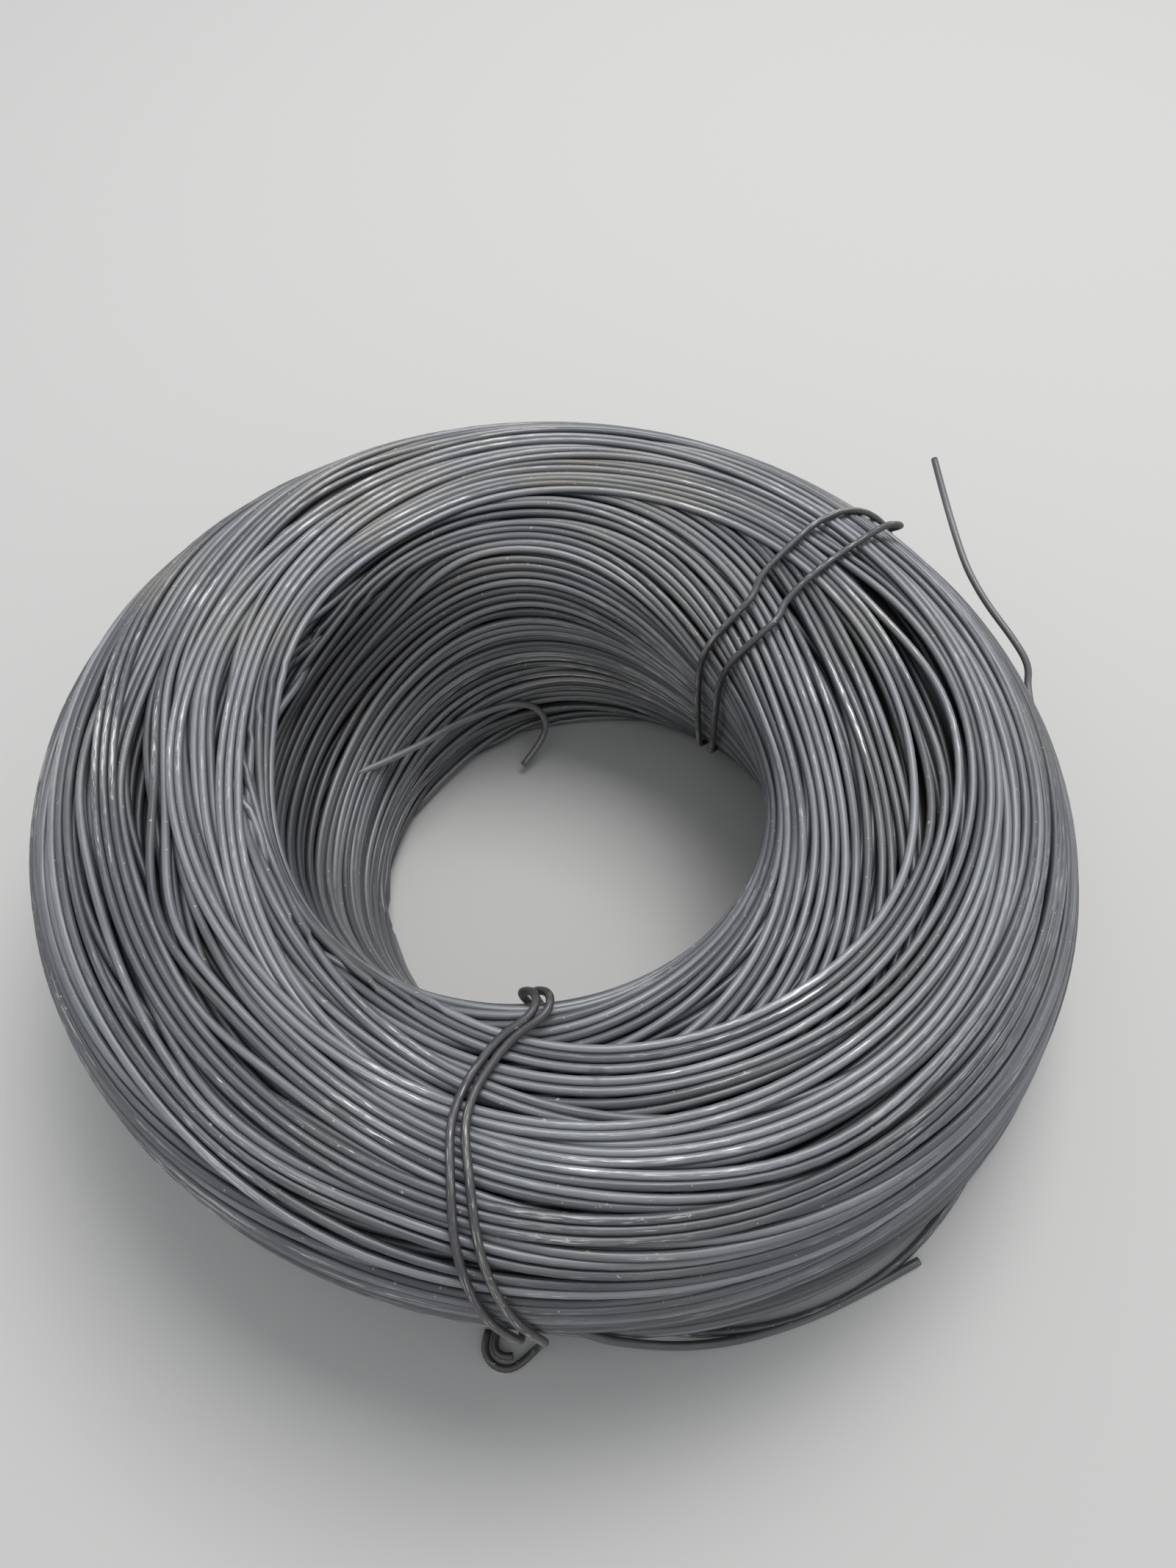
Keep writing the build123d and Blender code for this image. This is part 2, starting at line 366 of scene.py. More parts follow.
def below_path(place, depth, path_depth, paths):
    """Places as radius and height, measured from paths at a depth of their own."""
    normals = outward(paths)
    at = (place - outline_start) % outline_length
    past = np.maximum(at - outer_half, 0)
    number = np.minimum(at, outer_half) * outer_count / outer_half + past * eye_count / eye_half
    low = np.floor(number).astype(int) % paths.shape[1]
    high = (low + 1) % paths.shape[1]
    share = (number - np.floor(number))[..., None]
    station = np.arange(stations)[None, :]
    point = paths[station, low] * (1 - share) + paths[station, high] * share
    normal = normals[station, low] * (1 - share) + normals[station, high] * share
    point = point - normal * (depth - path_depth)[..., None]
    return point[..., 0], point[..., 1]


def on_outline(place, depth):
    """Radius and height of turns at places along the outline and depths below it."""
    depth = np.minimum(depth, deepest_turn)
    deepest = ramp((depth - wire_radius) / (deep_down - wire_radius))
    near, far = (below_path(place, depth, *given) for given in paths_below)
    return [near[k] + (far[k] - near[k]) * deepest for k in (0, 1)]


print("no turn is laid deeper than", deepest_turn, "mm below the surface")

# %% [markdown]
# ## Laying the turns
# Nobody lays such wire turn beside turn. It runs on in bands of a few turns that stay
# together, drift over the ring and cross other bands at a shallow angle. In this coil three
# groups of bands can be told apart: those on the outer wall, those on the top, which slide
# outward along the front, and those in the eye. The top group lies over the edges of the
# other two. Each group gets its own slow drift round the ring, read from the photograph, and
# each band in it a smaller random one. Seeded randomness gives the same coil each run.

# %% Drift of the three groups
random = np.random.default_rng(7)
top_drift = wave(20, -160) + wave(4, -150, 2)
wall_drift = wave(3, -165)
eye_drift = wave(13, 5, 2)
top_group = (88.0, 148.0)
wall_group = (-8.0, 106.0)
eye_group = (126.0, 298.0)
print("the top group wanders over", round(top_drift.max() - top_drift.min()), "mm of the outline")

# %% [markdown]
# ### Bands and their drift
# Some bands are tight, in others the turns stand a little apart. Plain random offsets would
# make the wire zigzag, so each band wanders on a few random waves round the ring instead, and
# bands that are near each other are given waves that are alike.


# %% Bands and their random drift
band_sizes = (3, 6)


def drift(count, neighbours, waves, size):
    """Smooth random offsets for count bands round the ring, alike in bands that are near."""
    total = np.zeros((count, stations))
    reach = np.minimum(np.arange(count), count - np.arange(count))
    likeness = np.exp(-((reach / neighbours) ** 2))
    for times in range(1, waves + 1):
        for turning in (np.cos(times * azimuth), np.sin(times * azimuth)):
            amount = random.normal(size=count)
            amount = np.real(np.fft.ifft(np.fft.fft(amount) * np.fft.fft(likeness)))
            total += amount[:, None] * turning[None, :] / (times * (amount.std() + 1e-9))
    return total * size


def in_bands(limits, pitches, breaks):
    """Starting places of turns in bands of a few, and the band of each."""
    starts, bands = [], []
    place, number = limits[0], 0
    while place < limits[1]:
        pitch = random.uniform(*pitches)
        for _ in range(int(random.integers(band_sizes[0], band_sizes[1] + 1))):
            starts.append(place)
            bands.append(number)
            place += pitch
        place += random.uniform(*breaks)
        number += 1
    return np.array(starts), np.array(bands)


print("bands are of", band_sizes[0], "to", band_sizes[1], "turns")

# %% [markdown]
# ### The gaps
# A few gaps stand out in the photograph, like long dark leaves. Leaving turns out would make
# them, but then the turns beside a gap would run straight on. In the real coil they bend
# round it, so each gap here pushes the bands on its two sides apart over a stretch of the ring.

# %% Gaps between the bands
# Each gap: azimuth, half its length in degrees, place on the outline, how far that drifts
# along it, and width in mm.
gaps = (
    (-171, 28, 110.5, 1.0, 12.0),
    (-147, 16, 116.5, 0.0, 6.0),
    (-122, 26, 106.0, -6.0, 8.0),
    (8, 44, 143.5, -8.0, 7.5),
    (-60, 20, 120.0, -4.0, 5.5),
    (122, 22, 132.5, 1.0, 5.5),
    (112, 18, 117.0, 3.0, 5.5),
    (-104, 18, 92.0, 3.0, 5.0),
    (-150, 24, 96.0, 0.0, 5.0),
    (70, 25, 124.0, 0.0, 4.5),
    (-35, 24, 106.0, -2.0, 5.0),
    (150, 28, 98.0, 0.0, 5.0),
    (40, 22, 112.0, 2.0, 4.0),
)
gap_reach = 26.0
gap_edge = 1.5


def open_gaps(place, share):
    """Places of turns, moved away from the gaps."""
    moved = place.copy()
    for crest, half_length, at, slope, width in gaps:
        turned = ((np.degrees(azimuth) - crest + 180) % 360 - 180) / half_length
        line = at + slope * np.clip(turned, -1, 1)
        beside = place - line
        opening = hump_at(crest, half_length) * share * width / 2
        moved += np.tanh(beside / gap_edge) * opening * np.exp(-np.abs(beside) / gap_reach)
    return moved


print("the widest of", len(gaps), "gaps is", max(width for *_, width in gaps), "mm wide")

# %% [markdown]
# ### Which band lies over which
# Where two bands meet, one rides over the other, and the lower one dives one wire deeper.
# Every band gets a rank, the top group's higher than the others', and each turn goes down by
# as many wires as there are bands of higher rank over it. The change is smoothed along the
# wire, because a wire that dives takes a hand's width to do it.

# %% Bands over a place
# Bands reach a little past their outermost wires, and the change has a width of its own.
band_margin, band_edge = 2.1, 1.8
dive_easing = 20


def eased_along(values, times):
    """Values smoothed along the wire."""
    for _ in range(times):
        values = (np.roll(values, 1, 1) + 2 * values + np.roll(values, -1, 1)) / 4
    return values


def bands_over(place, rank, edges, edge_ranks):
    """How many bands of a higher rank lie over each place."""
    total = np.zeros(place.shape)
    for (low, high), edge_rank in zip(edges, edge_ranks):
        start_inside = ramp((place - low + band_margin) / band_edge)
        end_inside = ramp((high + band_margin - place) / band_edge)
        total += start_inside * end_inside * (rank < edge_rank)[:, None]
    return eased_along(total, dive_easing)


dive_spread = math.sqrt(dive_easing / 2) * 2 * math.pi * coil_radius / stations
print("a dive is spread over about", round(dive_spread), "mm of wire each way")

# %% [markdown]
# ### Hollows under the lips
# The top of the coil has slid to the left, so it hangs over the eye there and over the outer
# wall at the front, and the turns under it lie farther in, in the shade. Painting that shade
# on would look wrong from other sides, so the turns themselves are drawn back.

# %% Hollows under the eye's lip and the shoulder
lip_hollow, lip_azimuth, lip_reach = 6.5, 165, 90
shoulder_hollow, shoulder_azimuth, shoulder_reach = 5.5, -68, 62
shoulder_middle, shoulder_spread = 47, 25
# Along the outline, from the top group's inner edge: where the recess begins and ends, and
# over how many mm it does so.
recess_begins, begins_over = -14, 16
recess_ends, ends_over = 20, 34
inner_edge = top_group[1] + top_drift


def under_lip(place):
    """1 in the recess under the eye's lip at the left and back, where the turns crowd."""
    past_lip = place - inner_edge
    begins = ramp((past_lip - recess_begins) / begins_over)
    ends = ramp((past_lip - recess_ends) / ends_over)
    return hump_at(lip_azimuth, lip_reach) * begins * (1 - ends)


def hollows(place):
    """How far the walls draw back under the two lips."""
    at_the_front = hump_at(shoulder_azimuth, shoulder_reach)
    under_shoulder = shoulder_hollow * at_the_front * hump(place, shoulder_middle, shoulder_spread)
    return lip_hollow * under_lip(place) + under_shoulder


print("the walls draw back by up to", lip_hollow, "mm in the eye and", shoulder_hollow, "mm outside")

# %% [markdown]
# ### The outermost turns
# These are the turns that are seen, so most of the likeness is theirs. Each group is laid with
# its own spacing, drift and rank. Every turn also has a small wobble of its own, and here and
# there one lies a little deeper than its neighbours, because a hand or a machine never lays
# wire quite evenly.

# %% The three groups of bands
# The drift of a band: how alike its neighbours are in bands, and how many waves it has.
band_likeness, band_waves = 0.6, 3
turn_likeness, turn_waves, turn_wobble = 0.5, 12, 0.4
sink_likeness, sink_waves = 0.35, 3
calm_share, calm_change = 0.85, 10
starts, places, ranks, sunken, edges, edge_ranks = [], [], [], [], [], []


def add_group(name, limits, group_drift, group_rank, opened, size, pitches, breaks, uneven, calm=400.0):
    """Lays one group of bands on the outline. Bands past a calm place hardly drift."""
    start, band = in_bands(limits, pitches, breaks)
    count = band.max() + 1
    free = 1 - calm_share * ramp((start[:, None] - calm) / calm_change)
    place = start[:, None] + drift(count, band_likeness, band_waves, size)[band] * free
    place = place + drift(len(start), turn_likeness, turn_waves, turn_wobble)
    place = open_gaps(place, opened) + group_drift(start[:, None])
    rank = group_rank + random.permutation(count)
    starts.append(start)
    places.append(place)
    ranks.append(rank[band])
    sunken.append(np.maximum(drift(len(start), sink_likeness, sink_waves, uneven), 0))
    for number in range(count):
        own = place[band == number]
        edges.append((own.min(0), own.max(0)))
        edge_ranks.append(rank[number])
    print(name, len(start), "turns in", count, "bands")


def drift_in_the_eye(start):
    """The eye group's drift, which fades out towards the foot."""
    return eye_drift * (1 - ramp((start - foot_calm) / foot_calm_change))


wall_rank, eye_rank, top_rank, crossing_rank = 0, 100, 200, 300
foot_calm, foot_calm_change = 232, 50
add_group(
    "outer wall:", wall_group, lambda start: wall_drift, wall_rank,
    opened=0.0, size=1.7, pitches=(2.6, 3.3), breaks=(-1.5, 1.5), uneven=0.7)
add_group(
    "eye:", eye_group, drift_in_the_eye, eye_rank,
    opened=0.0, size=1.6, pitches=(2.5, 3.2), breaks=(-2.5, 1.0), uneven=0.5)
add_group(
    "top:", top_group, lambda start: top_drift, top_rank,
    opened=1.0, size=1.6, pitches=(2.44, 3.1), breaks=(-3.5, 1.0), uneven=0.4, calm=128.0)

# %% [markdown]
# ### Bands that cross the others
# A few narrow bands run right across their neighbours and catch the light. They could be drawn
# as single wires on top, but then they would seem to float. Laid as bands of the highest rank,
# they press down what they cross. Each swings out and back once in a turn round the ring.

# %% The crossing bands
# Each crossing band: turns, middle of its run, swing in mm, azimuth where it crosses outward.
crossing_bands = (
    (2, 130.0, 7.5, -80), (3, 128.0, 7.0, -135), (2, 126.0, 7.0, 140), (3, 99.0, 7.0, 30),
)
crossing_pitch = 2.5
second_swing = 0.35
crossing_waves, crossing_wobble = 4, 0.2
for number, (count, middle, swing, crossed) in enumerate(crossing_bands):
    turned = azimuth - math.radians(crossed)
    line = middle - swing * (np.sin(turned) + second_swing * np.sin(2 * turned)) + top_drift
    start = middle + np.arange(count) * crossing_pitch
    wobble = drift(count, band_likeness, crossing_waves, crossing_wobble)
    starts.append(start)
    places.append(line[None, :] + (start - middle)[:, None] + wobble)
    ranks.append(np.full(count, crossing_rank + number))
    sunken.append(np.zeros((count, stations)))
    edges.append((places[-1].min(0), places[-1].max(0)))
    edge_ranks.append(crossing_rank + number)
print(len(crossing_bands), "narrow bands cross the others")

# %% [markdown]
# ### Depths of the outermost turns
# A turn's depth adds up from what has been worked out: half a wire to lie just inside the
# surface, a wire for each band over it, the hollows, and the odd turn that has sunk. Only the
# wall and eye groups draw back, because the top group is the lip that hangs over them.

# %% Depths of the outermost turns
most_bands_over = 2.2
dive_depth = 2.35
start_place = np.concatenate(starts)
place = np.vstack(places)
rank = np.concatenate(ranks)
over = np.minimum(bands_over(place, rank, edges, edge_ranks), most_bands_over)
drawn_back = hollows(place) * (rank < top_rank)[:, None]
depth = wire_radius + dive_depth * over + drawn_back + np.vstack(sunken)
radius_values, height_values = on_outline(place, depth)
radius_parts, height_parts = [radius_values], [height_values]
lay_parts = [np.zeros(len(place), int)]
# Turns of a higher rank give way less when turns are pushed apart.
firm_parts = [1.0 + rank / 100]
print("the outermost turns would lie", round(depth.min(), 1), "to", round(depth.max(), 1), "mm down")

# %% [markdown]
# ### What shows through the gaps
# Through the gaps the next two lays of wire show in the shade. A dark sheet under the turns
# would look empty there, so these are real turns too. They follow the group over them only
# part of the way, outside the top's drift and in the eye the eye's, so they are seen to
# cross the gaps at a slight angle.

# %% The second and third lay
# Each lower lay: number, depth, drift of its own, how far the gaps open it, and firmness.
lower_lays = (
    (1, 3.5, wave(4, -120, 2), 0.6, 0.7),
    (2, 5.8, wave(2, -30, 2), 0.4, 0.5),
)
lower_limits = (2.0, outline_length - 28.0)
lower_pitches, lower_breaks = (2.5, 2.75), (-1.0, 0.8)
eye_begins, eye_change = 118, 20
share_of_top_drift, share_of_eye_drift = 0.5, 0.7
lower_dive, lower_lip_hollow = 2.3, 2.0
for lay, lay_depth, lay_drift, opened, firm in lower_lays:
    start, band = in_bands(lower_limits, lower_pitches, lower_breaks)
    place = start[:, None] + drift(band.max() + 1, neighbours=0.8, waves=3, size=1.6)[band]
    place = place + drift(len(start), neighbours=0.6, waves=5, size=0.35)
    in_the_eye = ramp((start[:, None] - eye_begins) / eye_change)
    place = place + share_of_top_drift * top_drift * (1 - in_the_eye)
    place = place + share_of_eye_drift * eye_drift * in_the_eye + lay_drift
    place = open_gaps(place - top_drift, opened) + top_drift
    wrapped = outline_start + (place - outline_start) % outline_length
    full = bands_over(wrapped, np.full(len(start), -1), edges, edge_ranks)
    depth = lay_depth + lower_dive * np.clip(full - 1, 0, 2)
    depth = depth + hollows(wrapped) + lower_lip_hollow * under_lip(wrapped)
    depth = depth + drift(band.max() + 1, neighbours=0.3, waves=3, size=0.4)[band]
    radius_values, height_values = on_outline(place, depth)
    radius_parts.append(radius_values)
    height_parts.append(height_values)
    lay_parts.append(np.full(len(start), lay))
    firm_parts.append(np.full(len(start), firm))
    start_place = np.concatenate([start_place, start])
    print("lay", lay + 1, "has", len(start), "turns")

first_easing = 8
radius_wanted = eased_along(np.vstack(radius_parts), first_easing)
height_wanted = eased_along(np.vstack(height_parts), first_easing)
lay_of = np.concatenate(lay_parts)
firmness = np.concatenate(firm_parts)
turns = len(lay_of)
print("turns before they are settled:", turns)

# %% [markdown]
# ## Room for the turns
# Before the turns are pushed about they need walls to stay behind, or the coil would swell.
# The ring's rounded surface is that wall, and the ground is the floor. A mesh could be used to
# test against, but ellipses can be worked out at once for all turns. The lowest turns rise
# where a tie wire passes under the coil.

# %% Ground, lean and surface
tie_room = 2.8
front_tie_azimuth, front_tie_reach, front_tie_flat = -104.5, 20, 1.8
back_tie_azimuth, back_tie_reach, back_tie_flat = 52, 26, 1.6
over_front_tie = ramp(hump_at(front_tie_azimuth, front_tie_reach) * front_tie_flat)
over_back_tie = ramp(hump_at(back_tie_azimuth, back_tie_reach) * back_tie_flat)
ground = tie_room * np.maximum(over_front_tie, over_back_tie) + wire_radius
leaning = lean[0] * np.cos(azimuth) + lean[1] * np.sin(azimuth)


def slid(z):
    """How far the lean carries a point sideways in the plane across the wire."""
    return leaning[None, :] * (z / coil_height - 0.5)


def keep_inside(r, z):
    """Holds wire centres one wire radius below the ring's surface."""
    z = np.clip(z, ground[None, :], coil_height - wire_radius)
    upper = z > coil_height / 2
    for side in (1, -1):
        if side > 0:
            wide = np.where(upper, shoulder[0], foot_wide[None, :])
            tall = np.where(upper, shoulder[1], foot_tall[None, :])
            middle = coil_radius - wide
        else:
            wide = np.where(upper, mouth[0], foot[0])
            tall = np.where(upper, mouth[1], foot[1])
            middle = eye_radius + wide + eye_offset(z, azimuth[None, :])
        past = np.where(upper, np.maximum(z - coil_height + tall, 0), np.minimum(z - tall, 0))
        across = np.maximum(side * (r - middle), 0)
        share = np.hypot(across / (wide - wire_radius), past / (tall - wire_radius))
        out = (share > 1) & (across > 0)
        share = np.maximum(share, 1)
        r = np.where(out, middle + side * across / share, r)
        z = np.where(out, z - past + past / share, z)
    return r, np.maximum(z, ground[None, :])


print("over the ties the lowest turns rise by", tie_room, "mm")

# %% [markdown]
# ## Pushing the turns apart
# As laid, some turns run through each other. A physics engine could settle them, but rounds of
# pushing apart each pair that overlaps, in the plane across the wire, do the same in seconds:
# the wires slip past, ride over and duck under each other. After each round the moves are
# smoothed along the wire, because stiff wire bends gently, and each turn is drawn back a
# little to where it was laid, so that the bands and gaps stay.


# %% Settle the turns
def touching(across, up, reach):
    """Pairs of turns that are within reach of each other, as numbers of stations on turns."""
    first, second = [], []
    for station in range(stations):
        a = across[:, station]
        b = up[:, station]
        near = (a[:, None] - a[None, :]) ** 2 + (b[:, None] - b[None, :]) ** 2 < reach**2
        i, j = np.nonzero(np.triu(near, 1))
        first.append(i * stations + station)
        second.append(j * stations + station)
    return np.concatenate(first), np.concatenate(second)


rounds, last_rounds = 250, 10
rounds_between_searches, search_reach = 8, 1.5
push_share, pull_back = 0.9, 0.99
stiffness, last_stiffness = 2, 6
radius_wanted, height_wanted = keep_inside(radius_wanted, height_wanted)
across_wanted = radius_wanted + slid(height_wanted)
across, up = across_wanted.copy(), height_wanted.copy()
for step in range(rounds):
    if step % rounds_between_searches == 0:
        first, second = touching(across, up, wire_diameter * search_reach)
        firm_first, firm_second = firmness[first // stations], firmness[second // stations]
        give_first = firm_second / (firm_first + firm_second)
        give_second = 1 - give_first
    flat_across, flat_up = across.ravel().copy(), up.ravel().copy()
    gap_across = flat_across[second] - flat_across[first]
    gap_up = flat_up[second] - flat_up[first]
    distance = np.hypot(gap_across, gap_up) + 1e-6
    push = push_share * np.maximum(wire_diameter - distance, 0) / distance
    for flat, gap in ((flat_across, gap_across), (flat_up, gap_up)):
        flat += np.bincount(second, push * give_second * gap, flat.size)
        flat -= np.bincount(first, push * give_first * gap, flat.size)
    across, up = flat_across.reshape(across.shape), flat_up.reshape(up.shape)
    eased = stiffness if step < rounds - last_rounds else last_stiffness
    across = across_wanted + eased_along(across - across_wanted, eased) * pull_back
    up = height_wanted + eased_along(up - height_wanted, eased) * pull_back
    r, z = keep_inside(across - slid(up), up)
    across, up = r + slid(z), z
moved = np.hypot(across - across_wanted, up - height_wanted)
print("the turns moved by", round(moved.mean(), 2), "mm on average, the farthest", round(moved.max(), 1))

# %% [markdown]
# ### A lowest turn that peels away
# At the front right the lowest turn has sprung out of the coil and lies on the ground. The
# turn that already lies nearest to the foot's corner there is moved out, instead of adding a
# wire, so that it runs back into the coil on both sides as the real one does.

# %% The peeled turn
peel_azimuth, peel_reach, peel_bulge = -66.0, 36.0, 10.0
peel_flat = 3
corner_margin = 3.0
low_on_the_wall = 60
front_station = round((peel_azimuth % 360) / 360 * stations)
foot_corner = coil_radius - foot_wide[front_station] + corner_margin
low = (lay_of == 0) & (start_place < low_on_the_wall)
radius_there = across[:, front_station] - slid(up)[:, front_station]
off_corner = np.hypot(radius_there - foot_corner, up[:, front_station])
peeled = np.where(low, off_corner, np.inf).argmin()
lifted_off = hump_at(peel_azimuth, peel_reach)
peel_radius = across[peeled] - slid(up)[peeled] + peel_bulge * lifted_off
up[peeled] += (wire_radius - up[peeled]) * ramp(peel_flat * lifted_off)
across[peeled] = peel_radius + slid(up)[peeled]
print("the peeled turn reaches radius", round(peel_radius[front_station], 1), "mm")

# %% [markdown]
# ### How well they have settled
# Looking can miss wires that run into each other in the dark, so the pairs are counted. Where
# many turns are pressed into one place, a few stay a little into each other. More rounds
# would part them, but would also wash out the bands and gaps.

# %% Count the pairs that still overlap
too_deep = 0.4
first, second = touching(across, up, wire_diameter)
gap_across = across.ravel()[second] - across.ravel()[first]
gap_up = up.ravel()[second] - up.ravel()[first]
deep = (wire_diameter - np.hypot(gap_across, gap_up)) > too_deep
seen = np.minimum(lay_of[first // stations], lay_of[second // stations]) == 0
print("pairs still over", too_deep, "mm into each other:", round(100 * deep.mean(), 1), "%")
print("of those pairs on the outside:", round(100 * deep[seen].mean(), 1), "%")

# %% [markdown]
# ## From lines to wire
# A turn is a closed tube. Blender can bevel a curve into one, but with hundreds of turns it
# is quicker and lighter to work out all the rings of corners at once and hand them to the
# mesh. Each corner also keeps its distance along the wire, its place round the wire and its
# depth in the coil, which the materials read for streaks, wear and a painted shade of the deep.


# %% Points in space, depths and ways out
# Any direction that no wire starts out in.
odd_direction = (0.3, 0.5, 0.8)


def in_space(r, z, turn_azimuth):
    """Points in millimetres from radius, height and azimuth about the leaning axis."""
    share = z / coil_height - 0.5
    x = lean[0] * share + r * np.cos(turn_azimuth)
    y = lean[1] * share + r * np.sin(turn_azimuth)
    return np.stack(np.broadcast_arrays(x, y, z), -1)


def depth_below(centres_r, centres_z):
    """Depth of each centre below the section's outline, and the way out from it."""
    normals = outward(outlines)
    depth = np.empty(centres_r.shape)
    way = np.empty(centres_r.shape + (2,))
    for station, outline in enumerate(outlines):
        part = np.stack([centres_r[:, station], centres_z[:, station]], 1)
        nearest = ((part[:, None] - outline[None]) ** 2).sum(2).argmin(1)
        way[:, station] = normals[station, nearest]
        depth[:, station] = ((outline[nearest] - part) * way[:, station]).sum(1)
    return depth, way


def carried_way(line):
    """A direction across an open line at each point, carried along it without twisting."""
    tangent = np.gradient(line, axis=0)
    tangent /= np.linalg.norm(tangent, axis=1, keepdims=True)
    way = np.cross(tangent[0], odd_direction)
    ways = []
    for direction in tangent:
        way = way - (way @ direction) * direction
        way = way / np.linalg.norm(way)
        ways.append(way)
    return np.array(ways)


depth, way = depth_below(across - slid(up), up)
print("pushed apart, they reach down to", round(depth.max(), 1), "mm below the surface")

# %% [markdown]
# ### A flat map of the wire
# A finish that is baked into a picture needs a flat map of every face. Blender can unwrap a
# mesh by itself, but tubes unroll so simply that the map can be written down: each tube
# becomes one long strip, and the strips lie side by side.


# %% Unrolled map
strip_filled = 0.9


def add_unrolled_map(mesh, rows, count, sides, last):
    """A flat map of the tubes, each unrolled into a strip of its own, for baking the finish."""
    layer = mesh.uv_layers.new(name="OFBake")
    strip = (np.arange(rows) + 0.5) / rows
    along = np.arange(last) / last
    width = strip_filled / rows
    low = strip[:, None, None] + (np.arange(sides) / sides - 0.5)[None, None, :] * width
    low = np.broadcast_to(low, (rows, last, sides))
    high = low + width / sides
    here = np.broadcast_to(along[None, :, None], low.shape)
    there = here + 1 / last
    corners = np.stack([
        np.stack([here, low], -1),
        np.stack([there, low], -1),
        np.stack([there, high], -1),
        np.stack([here, high], -1),
    ], 3)
    flat = np.zeros((len(layer.uv), 2))
    flat[:corners.size // 2] = corners.reshape(-1, 2)
    layer.uv.foreach_set("vector", flat.ravel().astype(np.float32))


print("each tube's strip fills", strip_filled, "of its share of the map")

# %% [markdown]
# ### One mesh for many tubes
# A tube is a row of rings of corners across its centre line, joined by four-sided faces. A
# closed tube joins its last ring to its first, and an open one gets a flat cap at each end,
# as cut wire has. One mesh holds many turns, since a coil is one thing and not hundreds.


# %% Tubes from centre lines
def tube_object(name, centres, across_way, way_out, radius, sides, lay_values, depth, closed):
    """A mesh of one tube for each row of centres.

    across_way sets where the first side of a tube lies, and way_out points out of the coil.
    """
    rows, count, _ = centres.shape
    if closed:
        tangent = np.roll(centres, -1, 1) - np.roll(centres, 1, 1)
    else:
        tangent = np.gradient(centres, axis=1)
    tangent /= np.linalg.norm(tangent, axis=2, keepdims=True)
    across_wire = across_way - (across_way * tangent).sum(2, keepdims=True) * tangent
    across_wire /= np.linalg.norm(across_wire, axis=2, keepdims=True)
    side = np.cross(tangent, across_wire)
    angle = np.pi + np.arange(sides) * 2 * np.pi / sides
    ring = np.cos(angle)[:, None] * across_wire[:, :, None] + np.sin(angle)[:, None] * side[:, :, None]
    corners_at = centres[:, :, None] + ring * radius
    number = np.arange(rows * count * sides).reshape(rows, count, sides)
    last = count if closed else count - 1
    here, there = number[:, :last], np.roll(number, -1, 1)[:, :last]
    quads = np.stack([here, there, np.roll(there, -1, 2), np.roll(here, -1, 2)], -1).reshape(-1, 4)
    faces = quads.tolist()
    if not closed:
        faces += number[:, 0].tolist()
        faces += number[:, -1, ::-1].tolist()
    mesh = bpy.data.meshes.new(name)
    mesh.from_pydata((corners_at.reshape(-1, 3) * MM).tolist(), [], faces)
    mesh.polygons.foreach_set("use_smooth", [True] * len(mesh.polygons))
    lay = np.empty((rows, count, sides, 3))
    lay[..., :2] = lay_values[:, :, None, :2]
    lay[..., 2] = lay_values[:, :, None, 2] + np.arange(sides) / sides * 2 * np.pi * radius
    below = depth[:, :, None] - (ring * way_out[:, :, None]).sum(-1) * radius
    mesh.attributes.new("lay", "FLOAT_VECTOR", "POINT").data.foreach_set("vector", lay.ravel())
    mesh.attributes.new("depth", "FLOAT", "POINT").data.foreach_set("value", below.ravel())
    add_unrolled_map(mesh, rows, count, sides, last)
    print(name + ":", rows * count, "rings of", sides, "corners")
    piece = bpy.data.objects.new(name, mesh)
    bpy.context.scene.collection.objects.link(piece)
    return piece


# %% [markdown]
# ### The turns as pieces
# The turns are one wire, but a single mesh of them all would be too heavy to handle. They are
# parted by lay and by where on the section they start. Eight sides make each wire look round,
# because its faces are shaded smoothly and each is less than a millimetre wide.

# %% The turns as pieces
wire_sides = 8
centres = in_space(across - slid(up), up, azimuth[None, :])
way_out = np.stack([
    way[..., 0] * np.cos(azimuth),
    way[..., 0] * np.sin(azimuth),
    way[..., 1],
], -1)
mean_radius = (across - slid(up)).mean(1, keepdims=True)
# The third value of a turn tells it from the others. It goes up in steps that are longer than
# the way round a wire, which is added to it at each corner.
turn_number_step = 10.0
tone = random.permutation(turns) * turn_number_step
lay_values = np.stack([
    mean_radius * np.cos(azimuth),
    mean_radius * np.sin(azimuth),
    np.repeat(tone[:, None], stations, 1),
], -1)
wall_ends, eye_ends = 107, 265
second_outside_ends, third_outside_ends = 150, 140
parts_of_coil = {
    "outer_turns": (lay_of == 0) & (start_place < wall_ends),
    "top_and_eye_turns": (lay_of == 0) & (start_place >= wall_ends) & (start_place < eye_ends),
    "under_turns": (lay_of == 0) & (start_place >= eye_ends),
    "second_lay_outside": (lay_of == 1) & (start_place < second_outside_ends),
    "second_lay_inside": (lay_of == 1) & (start_place >= second_outside_ends),
    "third_lay_outside": (lay_of == 2) & (start_place < third_outside_ends),
    "third_lay_inside": (lay_of == 2) & (start_place >= third_outside_ends),
}
wire_pieces = []
for name, chosen_turns in parts_of_coil.items():
    rows = np.nonzero(chosen_turns)[0]
    piece = tube_object(
        name, centres[rows], way_out[rows], way_out[rows], wire_radius,
        wire_sides, lay_values[rows], depth[rows], closed=True)
    wire_pieces.append(piece)
    print(name + ":", len(rows), "turns,", 2 * len(piece.data.polygons), "triangles")
